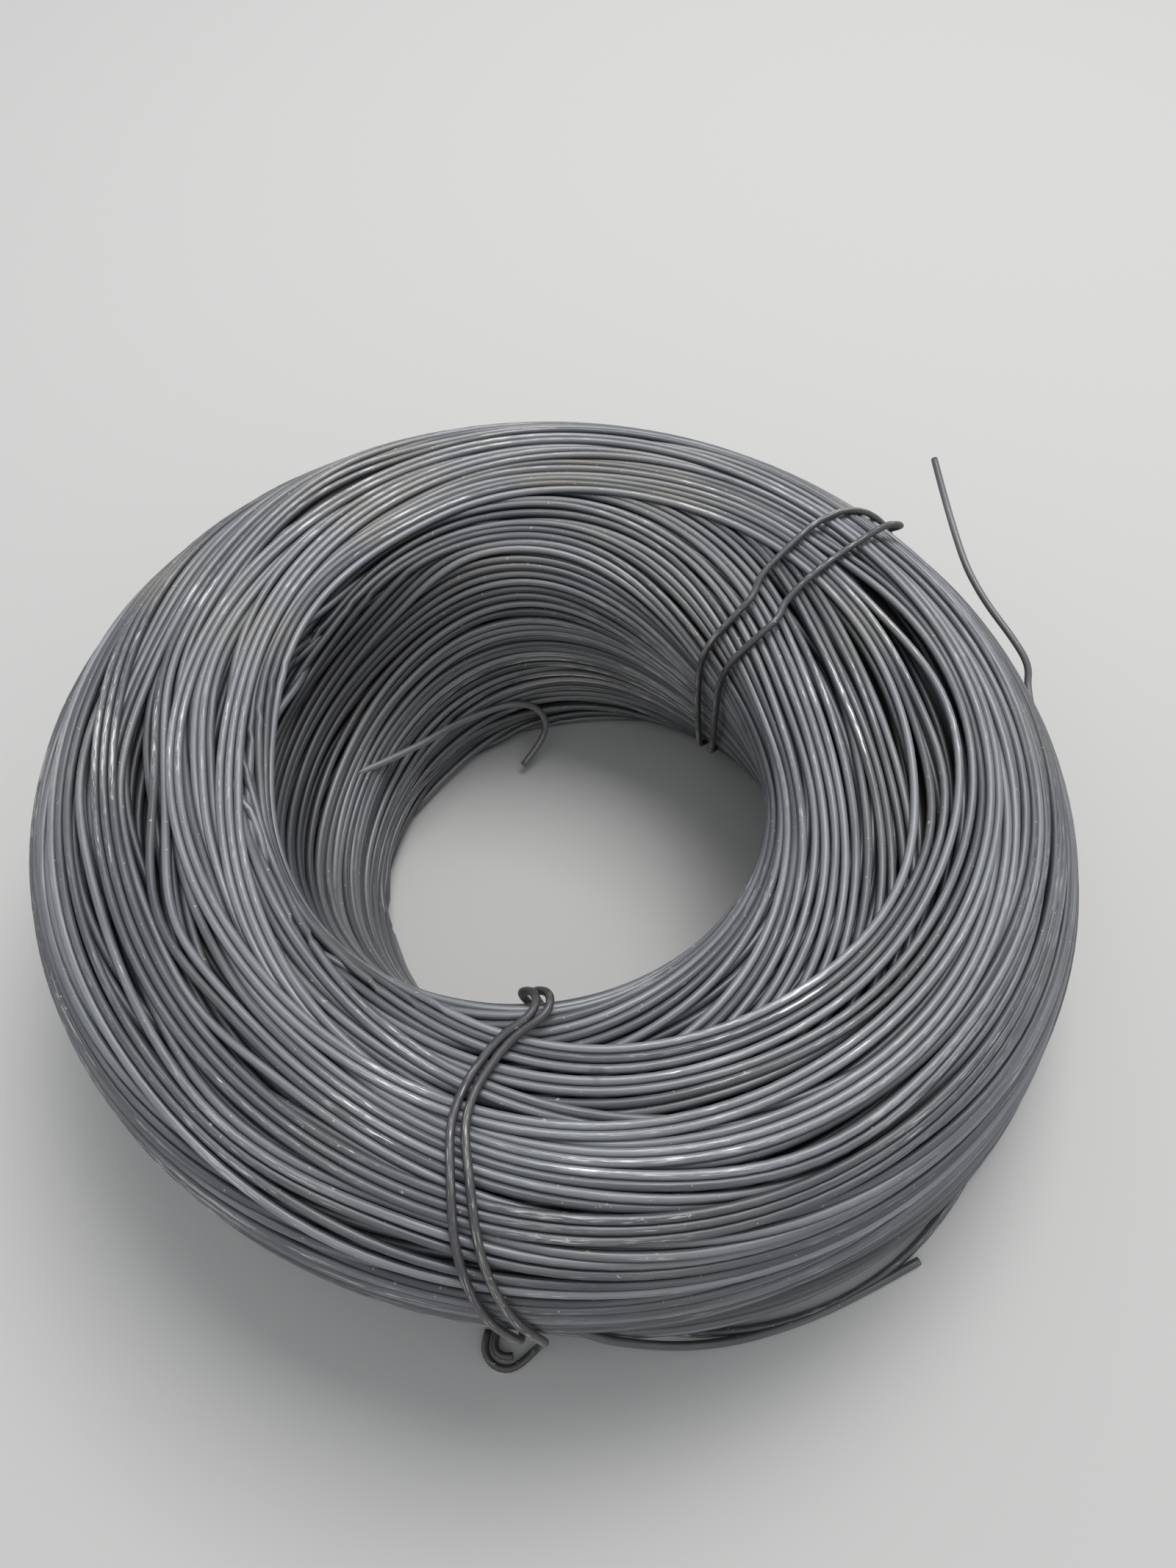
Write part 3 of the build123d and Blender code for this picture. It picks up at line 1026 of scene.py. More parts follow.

# %% [markdown]
# ## Inside the coil
# Gaps between turns show more wire below, in the dark. More lays of turns would cost faces
# that nobody can see. Three lays are real wire, and under them a plain ring, drawn from the
# same outline and painted near-black as shade, closes the view.

# %% Dark heart of the coil
heart_depth = 8.2
heart_step = 4.0
heart_start = np.arange(outline_start, outline_start + outline_length, heart_step)
heart_place = np.repeat(heart_start[:, None], stations, 1)
heart_r, heart_z = on_outline(heart_place, heart_depth + hollows(heart_place))
heart_points = in_space(heart_r, heart_z, azimuth[None, :])
heart_number = np.arange(heart_place.size).reshape(heart_place.shape)
heart_faces = np.stack([
    heart_number,
    np.roll(heart_number, -1, 1),
    np.roll(np.roll(heart_number, -1, 1), -1, 0),
    np.roll(heart_number, -1, 0),
], -1).reshape(-1, 4)
heart_mesh = bpy.data.meshes.new("coil_heart")
heart_mesh.from_pydata((heart_points.reshape(-1, 3) * MM).tolist(), [], heart_faces.tolist())
heart_mesh.polygons.foreach_set("use_smooth", [True] * len(heart_mesh.polygons))
coil_heart = bpy.data.objects.new("coil_heart", heart_mesh)
bpy.context.scene.collection.objects.link(coil_heart)
print("the dark heart has", len(heart_mesh.polygons), "faces")

# %% [markdown]
# ## Single wires: the free ends and the ties
# A bent wire has long soft bends and a few tight ones. A NURBS curve through a few points
# gives both: points that are far apart make a soft bend, and near ones a tight one. The
# curve is read back as a line of points and made into a tube like the turns. The routes are
# those of the measured model.


# %% Smooth lines through a route
def smooth_line(route, step=1.6):
    """Points an even step apart on a smooth curve along a route, in mm."""
    data = bpy.data.curves.new("route", "CURVE")
    data.dimensions = "3D"
    data.resolution_u = 12
    spline = data.splines.new("NURBS")
    spline.points.add(len(route) - 1)
    for point, place in zip(spline.points, route):
        point.co = (*[value * MM for value in place], 1.0)
    spline.order_u = 3
    spline.use_endpoint_u = True
    holder = bpy.data.objects.new("route", data)
    mesh = bpy.data.meshes.new_from_object(holder)
    line = np.array([vertex.co[:] for vertex in mesh.vertices]) / MM
    bpy.data.objects.remove(holder)
    bpy.data.meshes.remove(mesh)
    bpy.data.curves.remove(data)
    travelled = np.concatenate([[0], np.cumsum(np.linalg.norm(np.diff(line, axis=0), axis=1))])
    at = np.linspace(0, travelled[-1], max(int(travelled[-1] / step), 8))
    return np.stack([np.interp(at, travelled, line[:, k]) for k in range(3)], 1)


def single_wire(name, route, diameter, number, sides=12):
    """A tube along a route, as a piece of its own."""
    line = smooth_line(route)
    step = np.linalg.norm(np.diff(line, axis=0), axis=1).mean()
    along = np.arange(len(line)) * step
    share = line[:, 2] / coil_height - 0.5
    out = line[:, :2] - lean * share[:, None]
    reach = np.hypot(*out.T)
    section_middle = (coil_radius + eye_radius) / 2
    flat = out / reach[:, None]
    way = np.column_stack([flat * (reach - section_middle)[:, None], line[:, 2] - coil_height / 2])
    way /= np.linalg.norm(way, axis=1, keepdims=True)
    values = np.stack([along, along * 0, np.full(len(line), number * turn_number_step)], 1)
    piece = tube_object(
        name, line[None], carried_way(line)[None], way[None], diameter / 2,
        sides, values[None], np.full((1, len(line)), diameter / 2), closed=False)
    print(name, "is", round(along[-1]), "mm long")
    return piece


# %% [markdown]
# ### Places beside the coil
# The free ends and ties run close to the coil, which leans and has an eye off its centre. So
# their points are given as the measured model gives them: by a height, how many wires they
# stand off a wall, and an azimuth. Typed-in x, y and z would do until a size changed.


# %% Places beside the coil
def at_station(z, radius, degrees):
    """A point at a height, radius and azimuth about the leaning axis."""
    return in_space(np.float64(radius), np.float64(z), math.radians(degrees))


def off_outside(stations_given, diameter):
    """Points from (share of the height, diameters off the outside, azimuth)."""
    return [
        at_station(share * coil_height, coil_radius + off * diameter, turned)
        for share, off, turned in stations_given
    ]


def in_eye(z, radius, degrees):
    """A point at a height, radius and azimuth about the eye's own centre there."""
    return at_station(z, radius, degrees) + np.array([*eye_shift_at(z), 0.0])


def off_eye(stations_given, diameter):
    """Points from (share of the height, diameters off the eye's wall, azimuth)."""
    return [
        at_station(share * coil_height, eye_radius - off * diameter, turned)
        for share, off, turned in stations_given
    ]


print("front of the eye's wall at half height:", in_eye(coil_height / 2, eye_radius, -90).round(1))

# %% [markdown]
# ### The wire's own free ends
# The outer end springs up at the right, another end runs out along the ground at the front,
# and the inner end is bent into a hook in the eye. Each could be cut from a turn, but a route
# of its own is easier to bend. Each begins a few wires inside the coil, so no cut end shows.

# %% Free ends
on_ground = wire_radius / coil_height
outer_end = (
    (0.378, -2.5, 1), (0.389, 0.2, 9), (0.428, 3.1, 19), (0.472, 4.9, 20.9),
    (0.511, 5.1, 23.8), (0.556, 5.4, 31.2), (0.6, 8.6, 37.7), (0.667, 19.2, 47),
)
ground_end = (
    (0.333, -3.5, -99), (0.222, -0.4, -93), (0.1, 0.4, -87.5), (0.028, 0.8, -82),
    (on_ground, 0.85, -76), (on_ground, 0.85, -67), (on_ground, 1.0, -57.5),
)
inner_end = (
    (0.456, -5.6, 172), (0.378, 0.3, 155), (0.306, 0.6, 138.5), (0.271, 1.3, 124.2),
    (0.259, 1.8, 118.4), (0.226, 2.4, 113.7), (0.178, 3.7, 112.4), (0.122, 4.2, 114.5),
    (0.078, 5.2, 120), (0.044, 6.0, 130.3),
)
free_ends = [
    single_wire("outer_free_end", off_outside(outer_end, wire_diameter), wire_diameter, turns + 1),
    single_wire("ground_free_end", off_outside(ground_end, wire_diameter), wire_diameter, turns + 2),
    single_wire("inner_free_end", off_eye(inner_end, wire_diameter), wire_diameter, turns + 3),
]

# %% [markdown]
# ### The tie wires
# Each tie is one thinner wire wound twice round the ring's section. A tie could be shrunk on
# to the coil until it touches, but it would fall into every groove. The real one spans them,
# so its points stand off the plain rounded section by the same small room everywhere.

# %% Points of a tie round the section
tie_diameter = 2.1
tie_clearance = 0.3
tie_lift = tie_diameter / 2 + tie_clearance
shoulder_room, mouth_room = 1.0, 2.0
above_foot_share = 0.45
top_shares = (0.62, 0.2)
outer_edge_angles, mouth_edge_angles = (0, 30, 60, 90), (90, 70, 40, 0)


def beside_edge(side, angle, turned):
    """A tie point beside a rounded edge of the top: side 1 is outside, -1 the eye."""
    wide, tall = shoulder if side > 0 else mouth
    middle = coil_radius - wide if side > 0 else eye_radius + wide
    room, about = (shoulder_room, at_station) if side > 0 else (mouth_room, in_eye)
    flat, rise = math.cos(math.radians(angle)), math.sin(math.radians(angle))
    offset = (tie_lift + room) / math.hypot(tall * flat, wide * rise)
    return about(
        coil_height - tall + (tall + offset * wide) * rise,
        middle + side * (wide + offset * tall) * flat, turned)


# A strand is its azimuths at the outer foot, the outer wall, the shoulder, the middle of the
# top, the inner part of the top, the mouth of the eye and the eye's foot.
def outer_foot(strand):
    """Where a strand meets the ground outside the coil."""
    return at_station(tie_lift, coil_radius + tie_lift, strand[0])


def up_the_outside(strand):
    """Points of a strand up the outer wall and round the shoulder."""
    wall, shoulder_turned = strand[1:3]
    return [
        beside_edge(1, angle, wall + (shoulder_turned - wall) * angle / 90)
        for angle in outer_edge_angles
    ]


def across_and_down(strand):
    """Points of a strand over the top, down the eye's wall and to its foot."""
    middle_turned, inner_turned, rim_turned, foot_turned = strand[3:]
    mouth_edge = eye_radius + mouth[0]
    points = [
        at_station(coil_height + tie_lift, mouth_edge + share * (top_outside - mouth_edge), turned)
        for share, turned in zip(top_shares, (middle_turned, inner_turned))
    ]
    points += [beside_edge(-1, angle, rim_turned) for angle in mouth_edge_angles]
    above_foot = rim_turned + above_foot_share * (foot_turned - rim_turned)
    points.append(in_eye(foot[1], eye_radius - tie_lift - mouth_room, above_foot))
    return points + [in_eye(tie_lift, eye_radius, foot_turned)]


print("the ties stand", tie_clearance, "mm off the plain section")

# %% [markdown]
# ### The front tie
# It starts in a loop on the ground, goes twice round the section and ends in a smaller loop
# inside the first. Two wires twisted together would look neater than the real tie does. One
# route, with the strands a few degrees apart, gives the same loose pair.


# %% The front tie
def ring_on_ground(centre, radius, angles, rise):
    """Points round a small loop on the ground that rises a little towards its end."""
    return [
        centre + np.array([
            radius * math.cos(math.radians(angle)),
            radius * math.sin(math.radians(angle)),
            rise * index / len(angles),
        ])
        for index, angle in enumerate(angles)
    ]


front_right = (-99.0, -92.0, -94.2, -96.4, -91.3, -87.2, -107.0)
front_left = (-101.1, -94.5, -96.2, -97.9, -93.2, -89.7, -109.5)
loop_stand_off, loop_azimuth = 1.8, -102.6
large_loop_reach, small_loop_reach = 3, 1.7
large_loop_angles, small_loop_angles = (145, 180, 215, 250, 285, 320), (150, 200, 250, 300)
loop_centre = at_station(tie_lift, coil_radius + loop_stand_off * tie_diameter, loop_azimuth)
front_route = ring_on_ground(loop_centre, large_loop_reach * tie_diameter, large_loop_angles, 0)
front_route += [outer_foot(front_right)] + up_the_outside(front_right) + across_and_down(front_right)
front_route += [outer_foot(front_left)] + up_the_outside(front_left) + across_and_down(front_left)
front_route += ring_on_ground(loop_centre, small_loop_reach * tie_diameter, small_loop_angles, tie_diameter)
front_tie_wire = single_wire("front_tie_wire", front_route, tie_diameter, turns + 4)

# %% [markdown]
# ### The back tie
# It starts in a small hook that stands off the shoulder, and its end is tucked against the
# outer wall beside the strands. It uses the same points of a strand as the front one, with
# azimuths of its own, so both ties sit on the coil in the same way.

# %% The back tie
back_left = (47.5, 41.5, 42.4, 42.0, 40.2, 39.5, 60.0)
back_right = (44.8, 37.0, 36.2, 35.3, 32.6, 31.5, 57.0)
hook = ((0.925, -4.6, 37.6), (0.955, -3.4, 36.2), (0.99, -4.6, 35.9), (1.015, -7.0, 36.2))
tucked_end = ((tie_lift / coil_height, 0.7, 50.5), (0.45, 0.7, 46.5))
back_route = off_outside(hook, tie_diameter) + across_and_down(back_right)
back_route += [outer_foot(back_left)] + up_the_outside(back_left) + across_and_down(back_left)
back_route += off_outside(tucked_end, tie_diameter)
back_tie_wire = single_wire("back_tie_wire", back_route, tie_diameter, turns + 5)

# %% [markdown]
# ## The finish of the wire
# Annealed wire is not painted. It comes from the furnace with a thin blue-black skin of
# oxide, a little glossy, streaked along its length by drawing and handling. Where turns rub
# on each other and on the ground, the skin is worn to bare bright steel along the crests, and
# a little rust has started here and there. Each of these effects could be built anew in every
# material. As node groups they are built once, and the coil, the free ends and the ties share
# them in different strengths.


# %% A new node group
def new_group(name, inputs, outputs):
    """An empty node group of numbers in, with their usual values, and numbers out."""
    group = bpy.data.node_groups.new(name, "ShaderNodeTree")
    for socket, usual in inputs.items():
        made = group.interface.new_socket(name=socket, in_out="INPUT", socket_type="NodeSocketFloat")
        made.default_value = usual
    for socket in outputs:
        group.interface.new_socket(name=socket, in_out="OUTPUT", socket_type="NodeSocketFloat")
    print("group", name, "takes", ", ".join(inputs), "and puts out", ", ".join(outputs))
    return group, group.nodes.new("NodeGroupInput"), group.nodes.new("NodeGroupOutput")


# %% [markdown]
# ### Sums, steps and noise
# Wear, rust and dust come and go over the wire in patches that nobody could draw by hand.
# Noise gives the patches, sums combine them, and a smooth step turns a sum into a mask. Adding
# each node by hand is fine for one material; short helpers keep several of them readable.


# %% Helpers for nodes
def maths(tree, operation, first, second=None, clamp=False):
    """A maths node on two sockets or numbers."""
    node = tree.nodes.new("ShaderNodeMath")
    node.operation = operation
    node.use_clamp = clamp
    for socket, value in zip(node.inputs, (first, second)):
        if isinstance(value, bpy.types.NodeSocket):
            tree.links.new(value, socket)
        elif value is not None:
            socket.default_value = value
    return node.outputs[0]


def spread(tree, value, low, high, to_low=0.0, to_high=1.0):
    """A smooth step from low to high, put out between two numbers."""
    node = tree.nodes.new("ShaderNodeMapRange")
    node.interpolation_type = "SMOOTHSTEP"
    for socket, given in zip(node.inputs, (value, low, high, to_low, to_high)):
        if isinstance(given, bpy.types.NodeSocket):
            tree.links.new(given, socket)
        else:
            socket.default_value = given
    return node.outputs[0]


def noise(tree, place, size, detail=3.0, roughness=0.55):
    """Noise whose spots are about one size across, in the unit of the place given."""
    node = tree.nodes.new("ShaderNodeTexNoise")
    tree.links.new(place, node.inputs["Vector"])
    node.inputs["Detail"].default_value = detail
    node.inputs["Roughness"].default_value = roughness
    if isinstance(size, bpy.types.NodeSocket):
        tree.links.new(maths(tree, "DIVIDE", 1.0, size), node.inputs["Scale"])
    else:
        node.inputs["Scale"].default_value = 1.0 / size
    return node.outputs["Fac"]


def place_in_mm(tree):
    """The place on the object, in mm."""
    place_node = tree.nodes.new("ShaderNodeTexCoord")
    in_mm = tree.nodes.new("ShaderNodeVectorMath")
    in_mm.operation = "SCALE"
    in_mm.inputs["Scale"].default_value = 1 / MM
    tree.links.new(place_node.outputs["Object"], in_mm.inputs[0])
    return in_mm.outputs[0]


# %% [markdown]
# ### Streaks along the wire
# Streaks follow the wire, whichever way it bends, so the noise is read in the wire's own
# measures: its distance along and its place round. The first is squeezed, which draws the
# spots of the noise out into long streaks. Noise in plain x, y and z would cut across turns.

# %% Group: streaks along the wire
fine_share = 0.2
streak_detail = 3.0
# A little more than a step, because each step also holds the way round the wire.
turn_divider = turn_number_step + 0.001
streaks_group, entry, result = new_group(
    "streaks_along_wire",
    {"Length mm": 30.0, "Width mm": 1.0},
    ("Streaks", "Fine Streaks", "Turn Tone"))
lay_node = streaks_group.nodes.new("ShaderNodeAttribute")
lay_node.attribute_name = "lay"
parts = streaks_group.nodes.new("ShaderNodeSeparateXYZ")
streaks_group.links.new(lay_node.outputs["Vector"], parts.inputs[0])
for output, share in (("Streaks", 1.0), ("Fine Streaks", fine_share)):
    length = maths(streaks_group, "MULTIPLY", entry.outputs["Length mm"], share)
    width = maths(streaks_group, "MULTIPLY", entry.outputs["Width mm"], share)
    drawn_out = streaks_group.nodes.new("ShaderNodeCombineXYZ")
    for axis, size in ((0, length), (1, length), (2, width)):
        squeezed = maths(streaks_group, "DIVIDE", parts.outputs[axis], size)
        streaks_group.links.new(squeezed, drawn_out.inputs[axis])
    read = noise(streaks_group, drawn_out.outputs[0], 1.0, streak_detail)
    streaks_group.links.new(read, result.inputs[output])
steps_up = maths(streaks_group, "DIVIDE", parts.outputs[2], turn_divider)
turn_number = maths(streaks_group, "FLOOR", steps_up)
turn_tone = streaks_group.nodes.new("ShaderNodeTexWhiteNoise")
turn_tone.noise_dimensions = "1D"
streaks_group.links.new(turn_number, turn_tone.inputs["W"])
streaks_group.links.new(turn_tone.outputs["Value"], result.inputs["Turn Tone"])

# %% [markdown]
# ### Worn crests and the shade of the deep
# What rubs on other coils and on the ground is the outermost crest of a wire, in patches. What
# lies deep, and the sides of each wire that face into the coil, is painted darker as shade. The
# pointiness of a mesh would find every crest, deep or not. The depth kept at each corner tells
# crests on the outside from those inside, and sets how dark the painted shade is.

# %% Group: worn crests and painted shade
patch_share, wear_change = 0.9, 0.16
least_rubbed, wear_span = 1.45, 0.9
shade_begins, shade_ends = 0.5, 6.5
wear_and_shade_group, entry, result = new_group(
    "worn_crests_and_painted_shade",
    {"Streaks": 0.5, "Reach mm": 1.0, "Amount": 0.5, "Patch Size mm": 60.0},
    ("Wear", "Shade"))
depth_node = wear_and_shade_group.nodes.new("ShaderNodeAttribute")
depth_node.attribute_name = "depth"
below = depth_node.outputs["Fac"]
high_up = spread(wear_and_shade_group, below, entry.outputs["Reach mm"], 0.0)
patches = noise(wear_and_shade_group, place_in_mm(wear_and_shade_group), entry.outputs["Patch Size mm"], detail=2.0)
in_patches = maths(wear_and_shade_group, "MULTIPLY", patches, patch_share)
rubbed = maths(wear_and_shade_group, "ADD", in_patches, entry.outputs["Streaks"])
spared = maths(wear_and_shade_group, "MULTIPLY", entry.outputs["Amount"], wear_span)
limit = maths(wear_and_shade_group, "SUBTRACT", least_rubbed, spared)
bare = spread(wear_and_shade_group, rubbed, limit, maths(wear_and_shade_group, "ADD", limit, wear_change))
wear_and_shade_group.links.new(maths(wear_and_shade_group, "MULTIPLY", high_up, bare), result.inputs["Wear"])
# Shade is painted shade: the deeper a corner lies below the surface, the darker it is.
wear_and_shade_group.links.new(spread(wear_and_shade_group, below, shade_begins, shade_ends), result.inputs["Shade"])

# %% [markdown]
# ### Rust and stains
# Damp has left small rusty blotches and darker stains that run a little along the wire. A
# picture of rust would repeat and stretch. Noise with some of the streaks added gives blotches
# with drawn-out edges, and a second reading from another place gives stains that fall
# elsewhere.

# %% Group: rust and stains
blotch_detail, blotch_roughness = 4.0, 0.6
streak_share, amount_span = 0.35, 0.35
cleanest, blotch_change = 0.98, 0.14
stain_offset = (310.0, 90.0, 0.0)
rust_group, entry, result = new_group(
    "rust_and_stains",
    {"Streaks": 0.5, "Patch Size mm": 25.0, "Rust": 0.3, "Stain": 0.3},
    ("Rust Mask", "Stain Mask"))
rusty_place = place_in_mm(rust_group)
shifted = rust_group.nodes.new("ShaderNodeVectorMath")
shifted.operation = "ADD"
shifted.inputs[1].default_value = stain_offset
rust_group.links.new(rusty_place, shifted.inputs[0])
for output, spot, amount in (
    ("Rust Mask", rusty_place, "Rust"),
    ("Stain Mask", shifted.outputs[0], "Stain"),
):
    blotch = noise(rust_group, spot, entry.outputs["Patch Size mm"], blotch_detail, blotch_roughness)
    drawn_along = maths(rust_group, "MULTIPLY", entry.outputs["Streaks"], streak_share)
    both = maths(rust_group, "ADD", blotch, drawn_along)
    spared = maths(rust_group, "MULTIPLY", entry.outputs[amount], amount_span)
    limit = maths(rust_group, "SUBTRACT", cleanest, spared)
    mask = spread(rust_group, both, limit, maths(rust_group, "ADD", limit, blotch_change))
    rust_group.links.new(mask, result.inputs[output])

# %% [markdown]
# ### Dust
# The coil has lain in a dusty yard. Pale brown dust lies on what faces up, as a thin film
# towards the back and as specks here and there. Grains of their own would be far too many
# faces, so dust is only a colour, and its mask needs the way a spot faces.

# %% Group: dust
facing_from, facing_to = 0.2, 0.9
back_from, back_to, least_dust = -40.0, 110.0, 0.15
patch_from, patch_to = 0.38, 0.68
speck_from, speck_to, specks_with_film = 0.70, 0.76, 0.12
dust_group, entry, result = new_group(
    "yard_dust",
    {"Speck Size mm": 1.5, "Patch Size mm": 45.0, "Amount": 0.5},
    ("Film", "Specks"))
dusty_place = place_in_mm(dust_group)
where = dust_group.nodes.new("ShaderNodeSeparateXYZ")
dust_group.links.new(dusty_place, where.inputs[0])
facing = dust_group.nodes.new("ShaderNodeNewGeometry")
facing_parts = dust_group.nodes.new("ShaderNodeSeparateXYZ")
dust_group.links.new(facing.outputs["Normal"], facing_parts.inputs[0])
facing_up = spread(dust_group, facing_parts.outputs[2], facing_from, facing_to)
to_the_back = spread(dust_group, where.outputs[1], back_from, back_to, least_dust, 1.0)
patchy = noise(dust_group, dusty_place, entry.outputs["Patch Size mm"], detail=3.0)
patches = spread(dust_group, patchy, patch_from, patch_to)
film = maths(dust_group, "MULTIPLY", maths(dust_group, "MULTIPLY", patches, to_the_back), facing_up)
film = maths(dust_group, "MULTIPLY", film, entry.outputs["Amount"])
dust_group.links.new(film, result.inputs["Film"])
grains = noise(dust_group, dusty_place, entry.outputs["Speck Size mm"], detail=2.0, roughness=0.5)
denser = maths(dust_group, "MULTIPLY", film, specks_with_film)
specks = spread(dust_group, maths(dust_group, "ADD", grains, denser), speck_from, speck_to)
dust_group.links.new(maths(dust_group, "MULTIPLY", specks, facing_up), result.inputs["Specks"])

# %% [markdown]
# ### Colour over colour
# A real finish is one thin layer over another, and a mask says where each of them shows. The
# layers could be shaders of their own, but mixing their colours is cheaper and bakes into a
# picture without loss. Two more helpers do that mixing and put a group into a material.


# %% Helpers for materials
def mixed(tree, share, low, high):
    """A colour between two, by a share."""
    node = tree.nodes.new("ShaderNodeMix")
    node.data_type = "RGBA"
    sockets = [socket for socket in node.inputs if socket.type == "RGBA"]
    tree.links.new(share, node.inputs["Factor"])
    for socket, value in zip(sockets, (low, high)):
        if isinstance(value, bpy.types.NodeSocket):
            tree.links.new(value, socket)
        else:
            socket.default_value = (*value, 1.0)
    return next(socket for socket in node.outputs if socket.type == "RGBA")


def placed(tree, group, **values):
    """A node group in a material, with its values or links."""
    node = tree.nodes.new("ShaderNodeGroup")
    node.node_tree = group
    for name, value in values.items():
        socket = node.inputs[name.replace("_", " ")]
        if isinstance(value, bpy.types.NodeSocket):
            tree.links.new(value, socket)
        else:
            socket.default_value = value
    return node


# %% [markdown]
# ### The colours of the wire
# On the real wire the skin of oxide has two tones, and over it lie wear, stains, rust and
# dust. Over all of them a painted shade darkens what lies deep. One picture of dirty wire
# would be quicker, but would show the same dirt on every turn. Colours laid one over the other
# by their masks differ from turn to turn.

# %% Colours from the skin up
stain_colour, stain_strength = (0.018, 0.018, 0.02), 0.7
rust_colour, rust_strength = (0.17, 0.085, 0.045), 0.75
film_colour, speck_colour = (0.27, 0.245, 0.20), (0.50, 0.45, 0.36)
# Painted shade: the colour and strength that darken what lies deep.
painted_shade_colour, painted_shade_strength = (0.03, 0.03, 0.033), 0.9
turn_share, streaks_share = 0.65, 1.1
darkest_tone, palest_tone = 0.4, 1.35


def layered_colour(tree, streaks, wear_and_shade, marks, dusty, skin_tones, bare):
    """The wire's colour in a material, from the skin up, with painted shade over it last."""
    of_the_turn = maths(tree, "MULTIPLY", streaks.outputs["Turn Tone"], turn_share)
    of_the_streaks = maths(tree, "MULTIPLY", streaks.outputs["Streaks"], streaks_share)
    tone = maths(tree, "ADD", of_the_turn, of_the_streaks)
    stained = maths(tree, "MULTIPLY", marks.outputs["Stain Mask"], stain_strength)
    rusty = maths(tree, "MULTIPLY", marks.outputs["Rust Mask"], rust_strength)
    # Painted shade, strongest on what lies deep.
    painted_shade = maths(tree, "MULTIPLY", wear_and_shade.outputs["Shade"], painted_shade_strength)
    colour = mixed(tree, spread(tree, tone, darkest_tone, palest_tone), *skin_tones)
    colour = mixed(tree, wear_and_shade.outputs["Wear"], colour, bare)
    colour = mixed(tree, stained, colour, stain_colour)
    colour = mixed(tree, rusty, colour, rust_colour)
    colour = mixed(tree, dusty.outputs["Film"], colour, film_colour)
    colour = mixed(tree, dusty.outputs["Specks"], colour, speck_colour)
    return mixed(tree, painted_shade, colour, painted_shade_colour)


print("rust covers", rust_strength, "of the skin under it at most, stains", stain_strength)

# %% [markdown]
# ### One recipe for every wire
# The skin is dark, a little glossy and only partly like metal, and bare steel more so. Three
# materials could be built one by one, but one recipe with the skin's tones and the strength of
# each effect as its values keeps them alike.

# %% Recipe for a wire material
metal_skin, metal_bare = 0.3, 0.7
faint_streak, clear_streak = 0.3, 0.75
smooth_skin, matt_skin = 0.34, 0.52
polish, rust_roughness = -0.04, 0.35
rust_height = 0.6
bump_strength, bump_distance = 0.35, 0.12 * MM


def wire_material(name, skin_tones, bare, wear, rust, stain, dust):
    """Wire with a skin of oxide, and streaks, wear, stains, rust and dust on it, and painted shade on what
    lies deep.
    """
    material = bpy.data.materials.new(name)
    material.use_nodes = True
    tree = material.node_tree
    shader = tree.nodes["Principled BSDF"]
    streaks = placed(tree, streaks_group, Length_mm=26.0, Width_mm=1.1)
    wear_and_shade = placed(
        tree, wear_and_shade_group, Streaks=streaks.outputs["Fine Streaks"],
        Reach_mm=0.4, Amount=wear, Patch_Size_mm=38.0)
    marks = placed(
        tree, rust_group, Streaks=streaks.outputs["Streaks"],
        Patch_Size_mm=22.0, Rust=rust, Stain=stain)
    dusty = placed(tree, dust_group, Speck_Size_mm=1.4, Patch_Size_mm=45.0, Amount=dust)
    colour = layered_colour(tree, streaks, wear_and_shade, marks, dusty, skin_tones, bare)
    tree.links.new(colour, shader.inputs["Base Color"])

    # Rust and specks of dust are dull, and not like metal.
    dull = maths(tree, "ADD", marks.outputs["Rust Mask"], dusty.outputs["Specks"], clamp=True)
    clean = maths(tree, "SUBTRACT", 1.0, dull, clamp=True)
    metal = spread(tree, wear_and_shade.outputs["Wear"], 0.0, 1.0, metal_skin, metal_bare)
    tree.links.new(maths(tree, "MULTIPLY", metal, clean), shader.inputs["Metallic"])
    fine = streaks.outputs["Fine Streaks"]
    matt = spread(tree, fine, faint_streak, clear_streak, smooth_skin, matt_skin)
    polished = maths(tree, "MULTIPLY", wear_and_shade.outputs["Wear"], polish)
    rough = maths(tree, "ADD", matt, polished)
    rough = maths(tree, "ADD", rough, maths(tree, "MULTIPLY", dull, rust_roughness), clamp=True)
    tree.links.new(rough, shader.inputs["Roughness"])

    # Fine streaks and rust stand a little proud.
    bump = tree.nodes.new("ShaderNodeBump")
    bump.inputs["Strength"].default_value = bump_strength
    bump.inputs["Distance"].default_value = bump_distance
    raised = maths(tree, "MULTIPLY", marks.outputs["Rust Mask"], rust_height)
    tree.links.new(maths(tree, "ADD", fine, raised), bump.inputs["Height"])
    tree.links.new(bump.outputs[0], shader.inputs["Normal"])
    print("material", name, "has", len(tree.nodes), "nodes")
    return material


# %% [markdown]
# ### The finishes of this coil
# The ring is blue-grey and worn along its crests. The ends are the same wire but have been
# handled more, so they are a little warmer and rustier. The ties are nearly black, with the
# brightest scratches. They could differ in colour alone, but that would look like paint, so
# wear, rust and dust differ too.

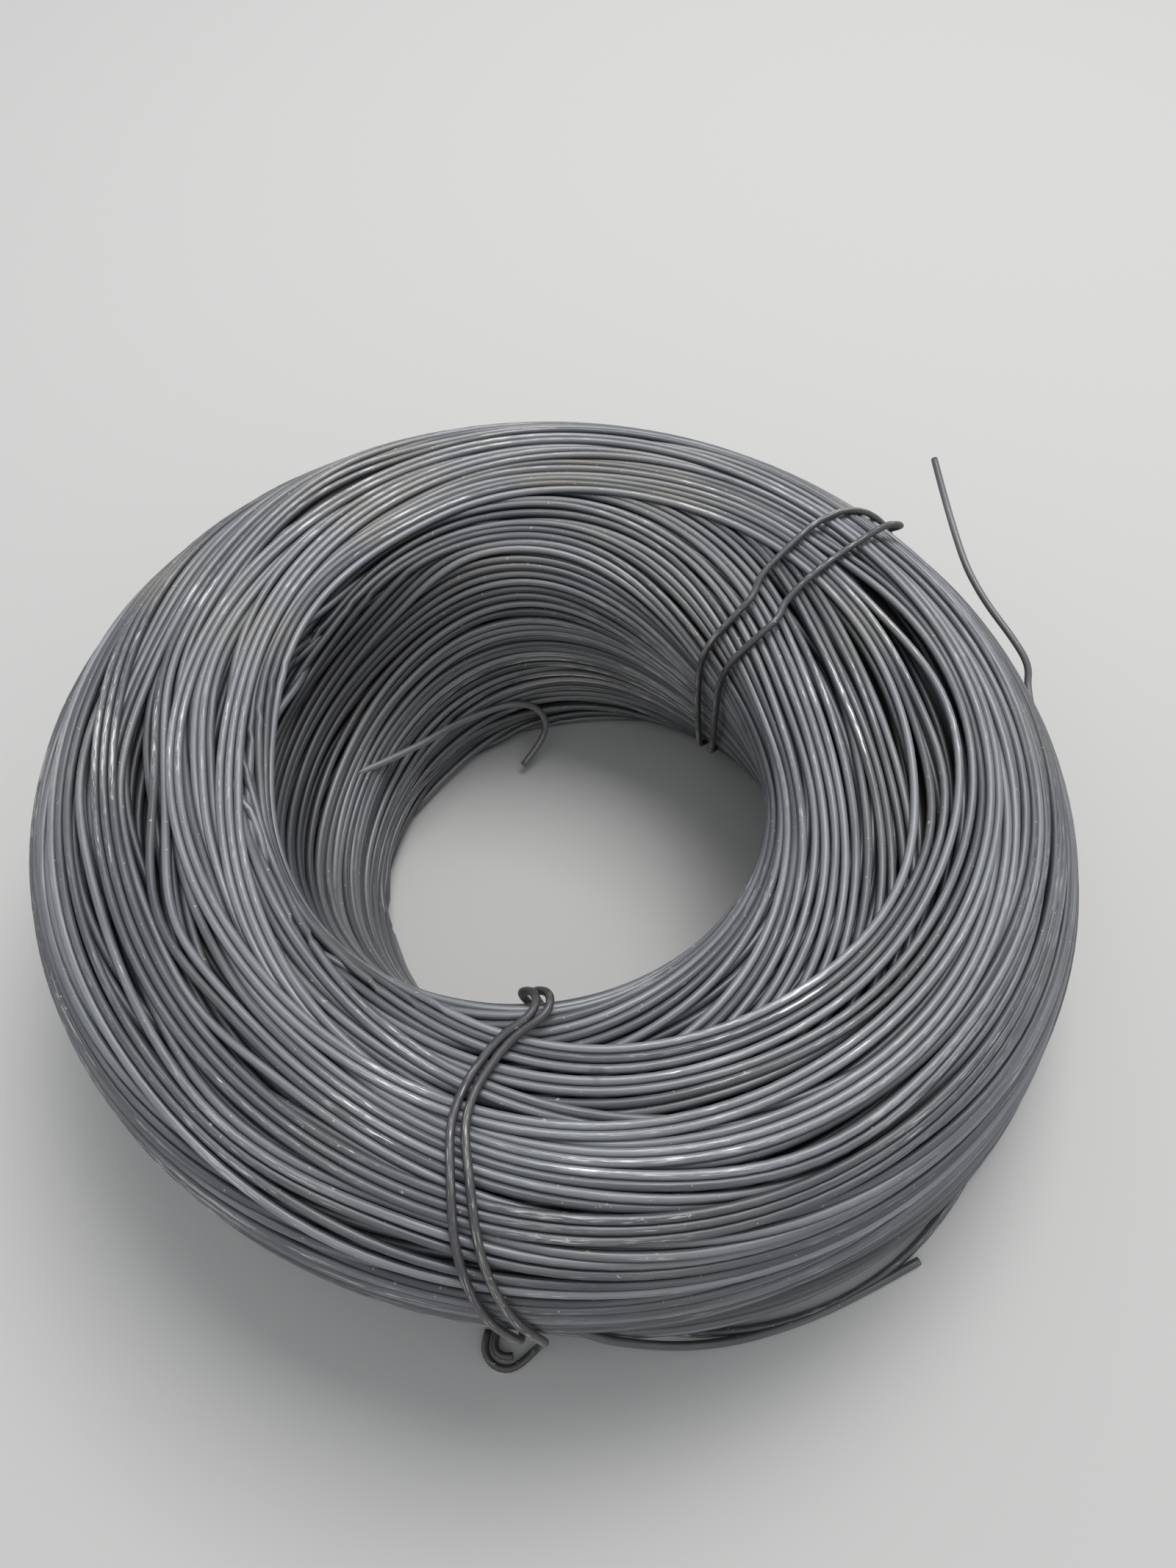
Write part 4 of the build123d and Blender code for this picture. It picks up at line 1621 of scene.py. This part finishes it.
# %% Finishes
coil_finish = wire_material(
    "annealed_black_wire", ((0.088, 0.093, 0.101), (0.268, 0.278, 0.294)), (0.62, 0.62, 0.62),
    wear=0.5, rust=0.18, stain=0.35, dust=0.55)
end_finish = wire_material(
    "free_end_wire", ((0.10, 0.102, 0.106), (0.27, 0.272, 0.28)), (0.58, 0.58, 0.57),
    wear=0.4, rust=0.35, stain=0.2, dust=0.3)
tie_finish = wire_material(
    "tie_wire_skin", ((0.035, 0.035, 0.037), (0.10, 0.098, 0.10)), (0.55, 0.54, 0.52),
    wear=0.62, rust=0.3, stain=0.2, dust=0.5)

# %% [markdown]
# ### The dark inside
# The heart's near-black colour is painted shade, standing in for wire that lies in the dark.
# Plain black would look like a hole, so it has faint lighter patches, and no gloss that could
# give it away as a smooth ring.

# %% Painted shade of the dark heart
# Painted shade: the near-black colours of the heart and of its faint lighter patches.
heart_shade_colour, heart_shade_patch_colour = (0.006, 0.006, 0.006), (0.02, 0.018, 0.015)
heart_roughness = 0.8
heart_patch, patch_begins, patch_ends = 0.02, 0.45, 0.8
heart_painted_shade = bpy.data.materials.new("dark_heart_painted_shade")
heart_painted_shade.use_nodes = True
tree = heart_painted_shade.node_tree
shader = tree.nodes["Principled BSDF"]
shader.inputs["Roughness"].default_value = heart_roughness
place_node = tree.nodes.new("ShaderNodeTexCoord")
patchy = noise(tree, place_node.outputs["Object"], heart_patch, detail=4.0)
# Mask of the faint lighter patches in the painted shade.
dust = spread(tree, patchy, patch_begins, patch_ends)
tree.links.new(mixed(tree, dust, heart_shade_colour, heart_shade_patch_colour), shader.inputs["Base Color"])
print("material", heart_painted_shade.name, "has", len(tree.nodes), "nodes")

# %% [markdown]
# ## Dressing the measured model
# The measured model knows the coil as three solids. Each piece drawn here hides the solid it
# stands in for, and is given what it is made of and what it moves with. Nothing on a coil moves
# by itself, so every piece rides on the root.

# %% Dress the pieces
for piece in wire_pieces + free_ends:
    piece.data.materials.append(end_finish if piece in free_ends else coil_finish)
    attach(piece, "root")
    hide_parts("wire_coil")
coil_heart.data.materials.append(heart_painted_shade)
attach(coil_heart, "root")
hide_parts("wire_coil")
for piece, node in ((front_tie_wire, "front_tie"), (back_tie_wire, "back_tie")):
    piece.data.materials.append(tie_finish)
    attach(piece, "root")
    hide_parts(node)
print("pieces dressed:", len(wire_pieces + free_ends) + 3)
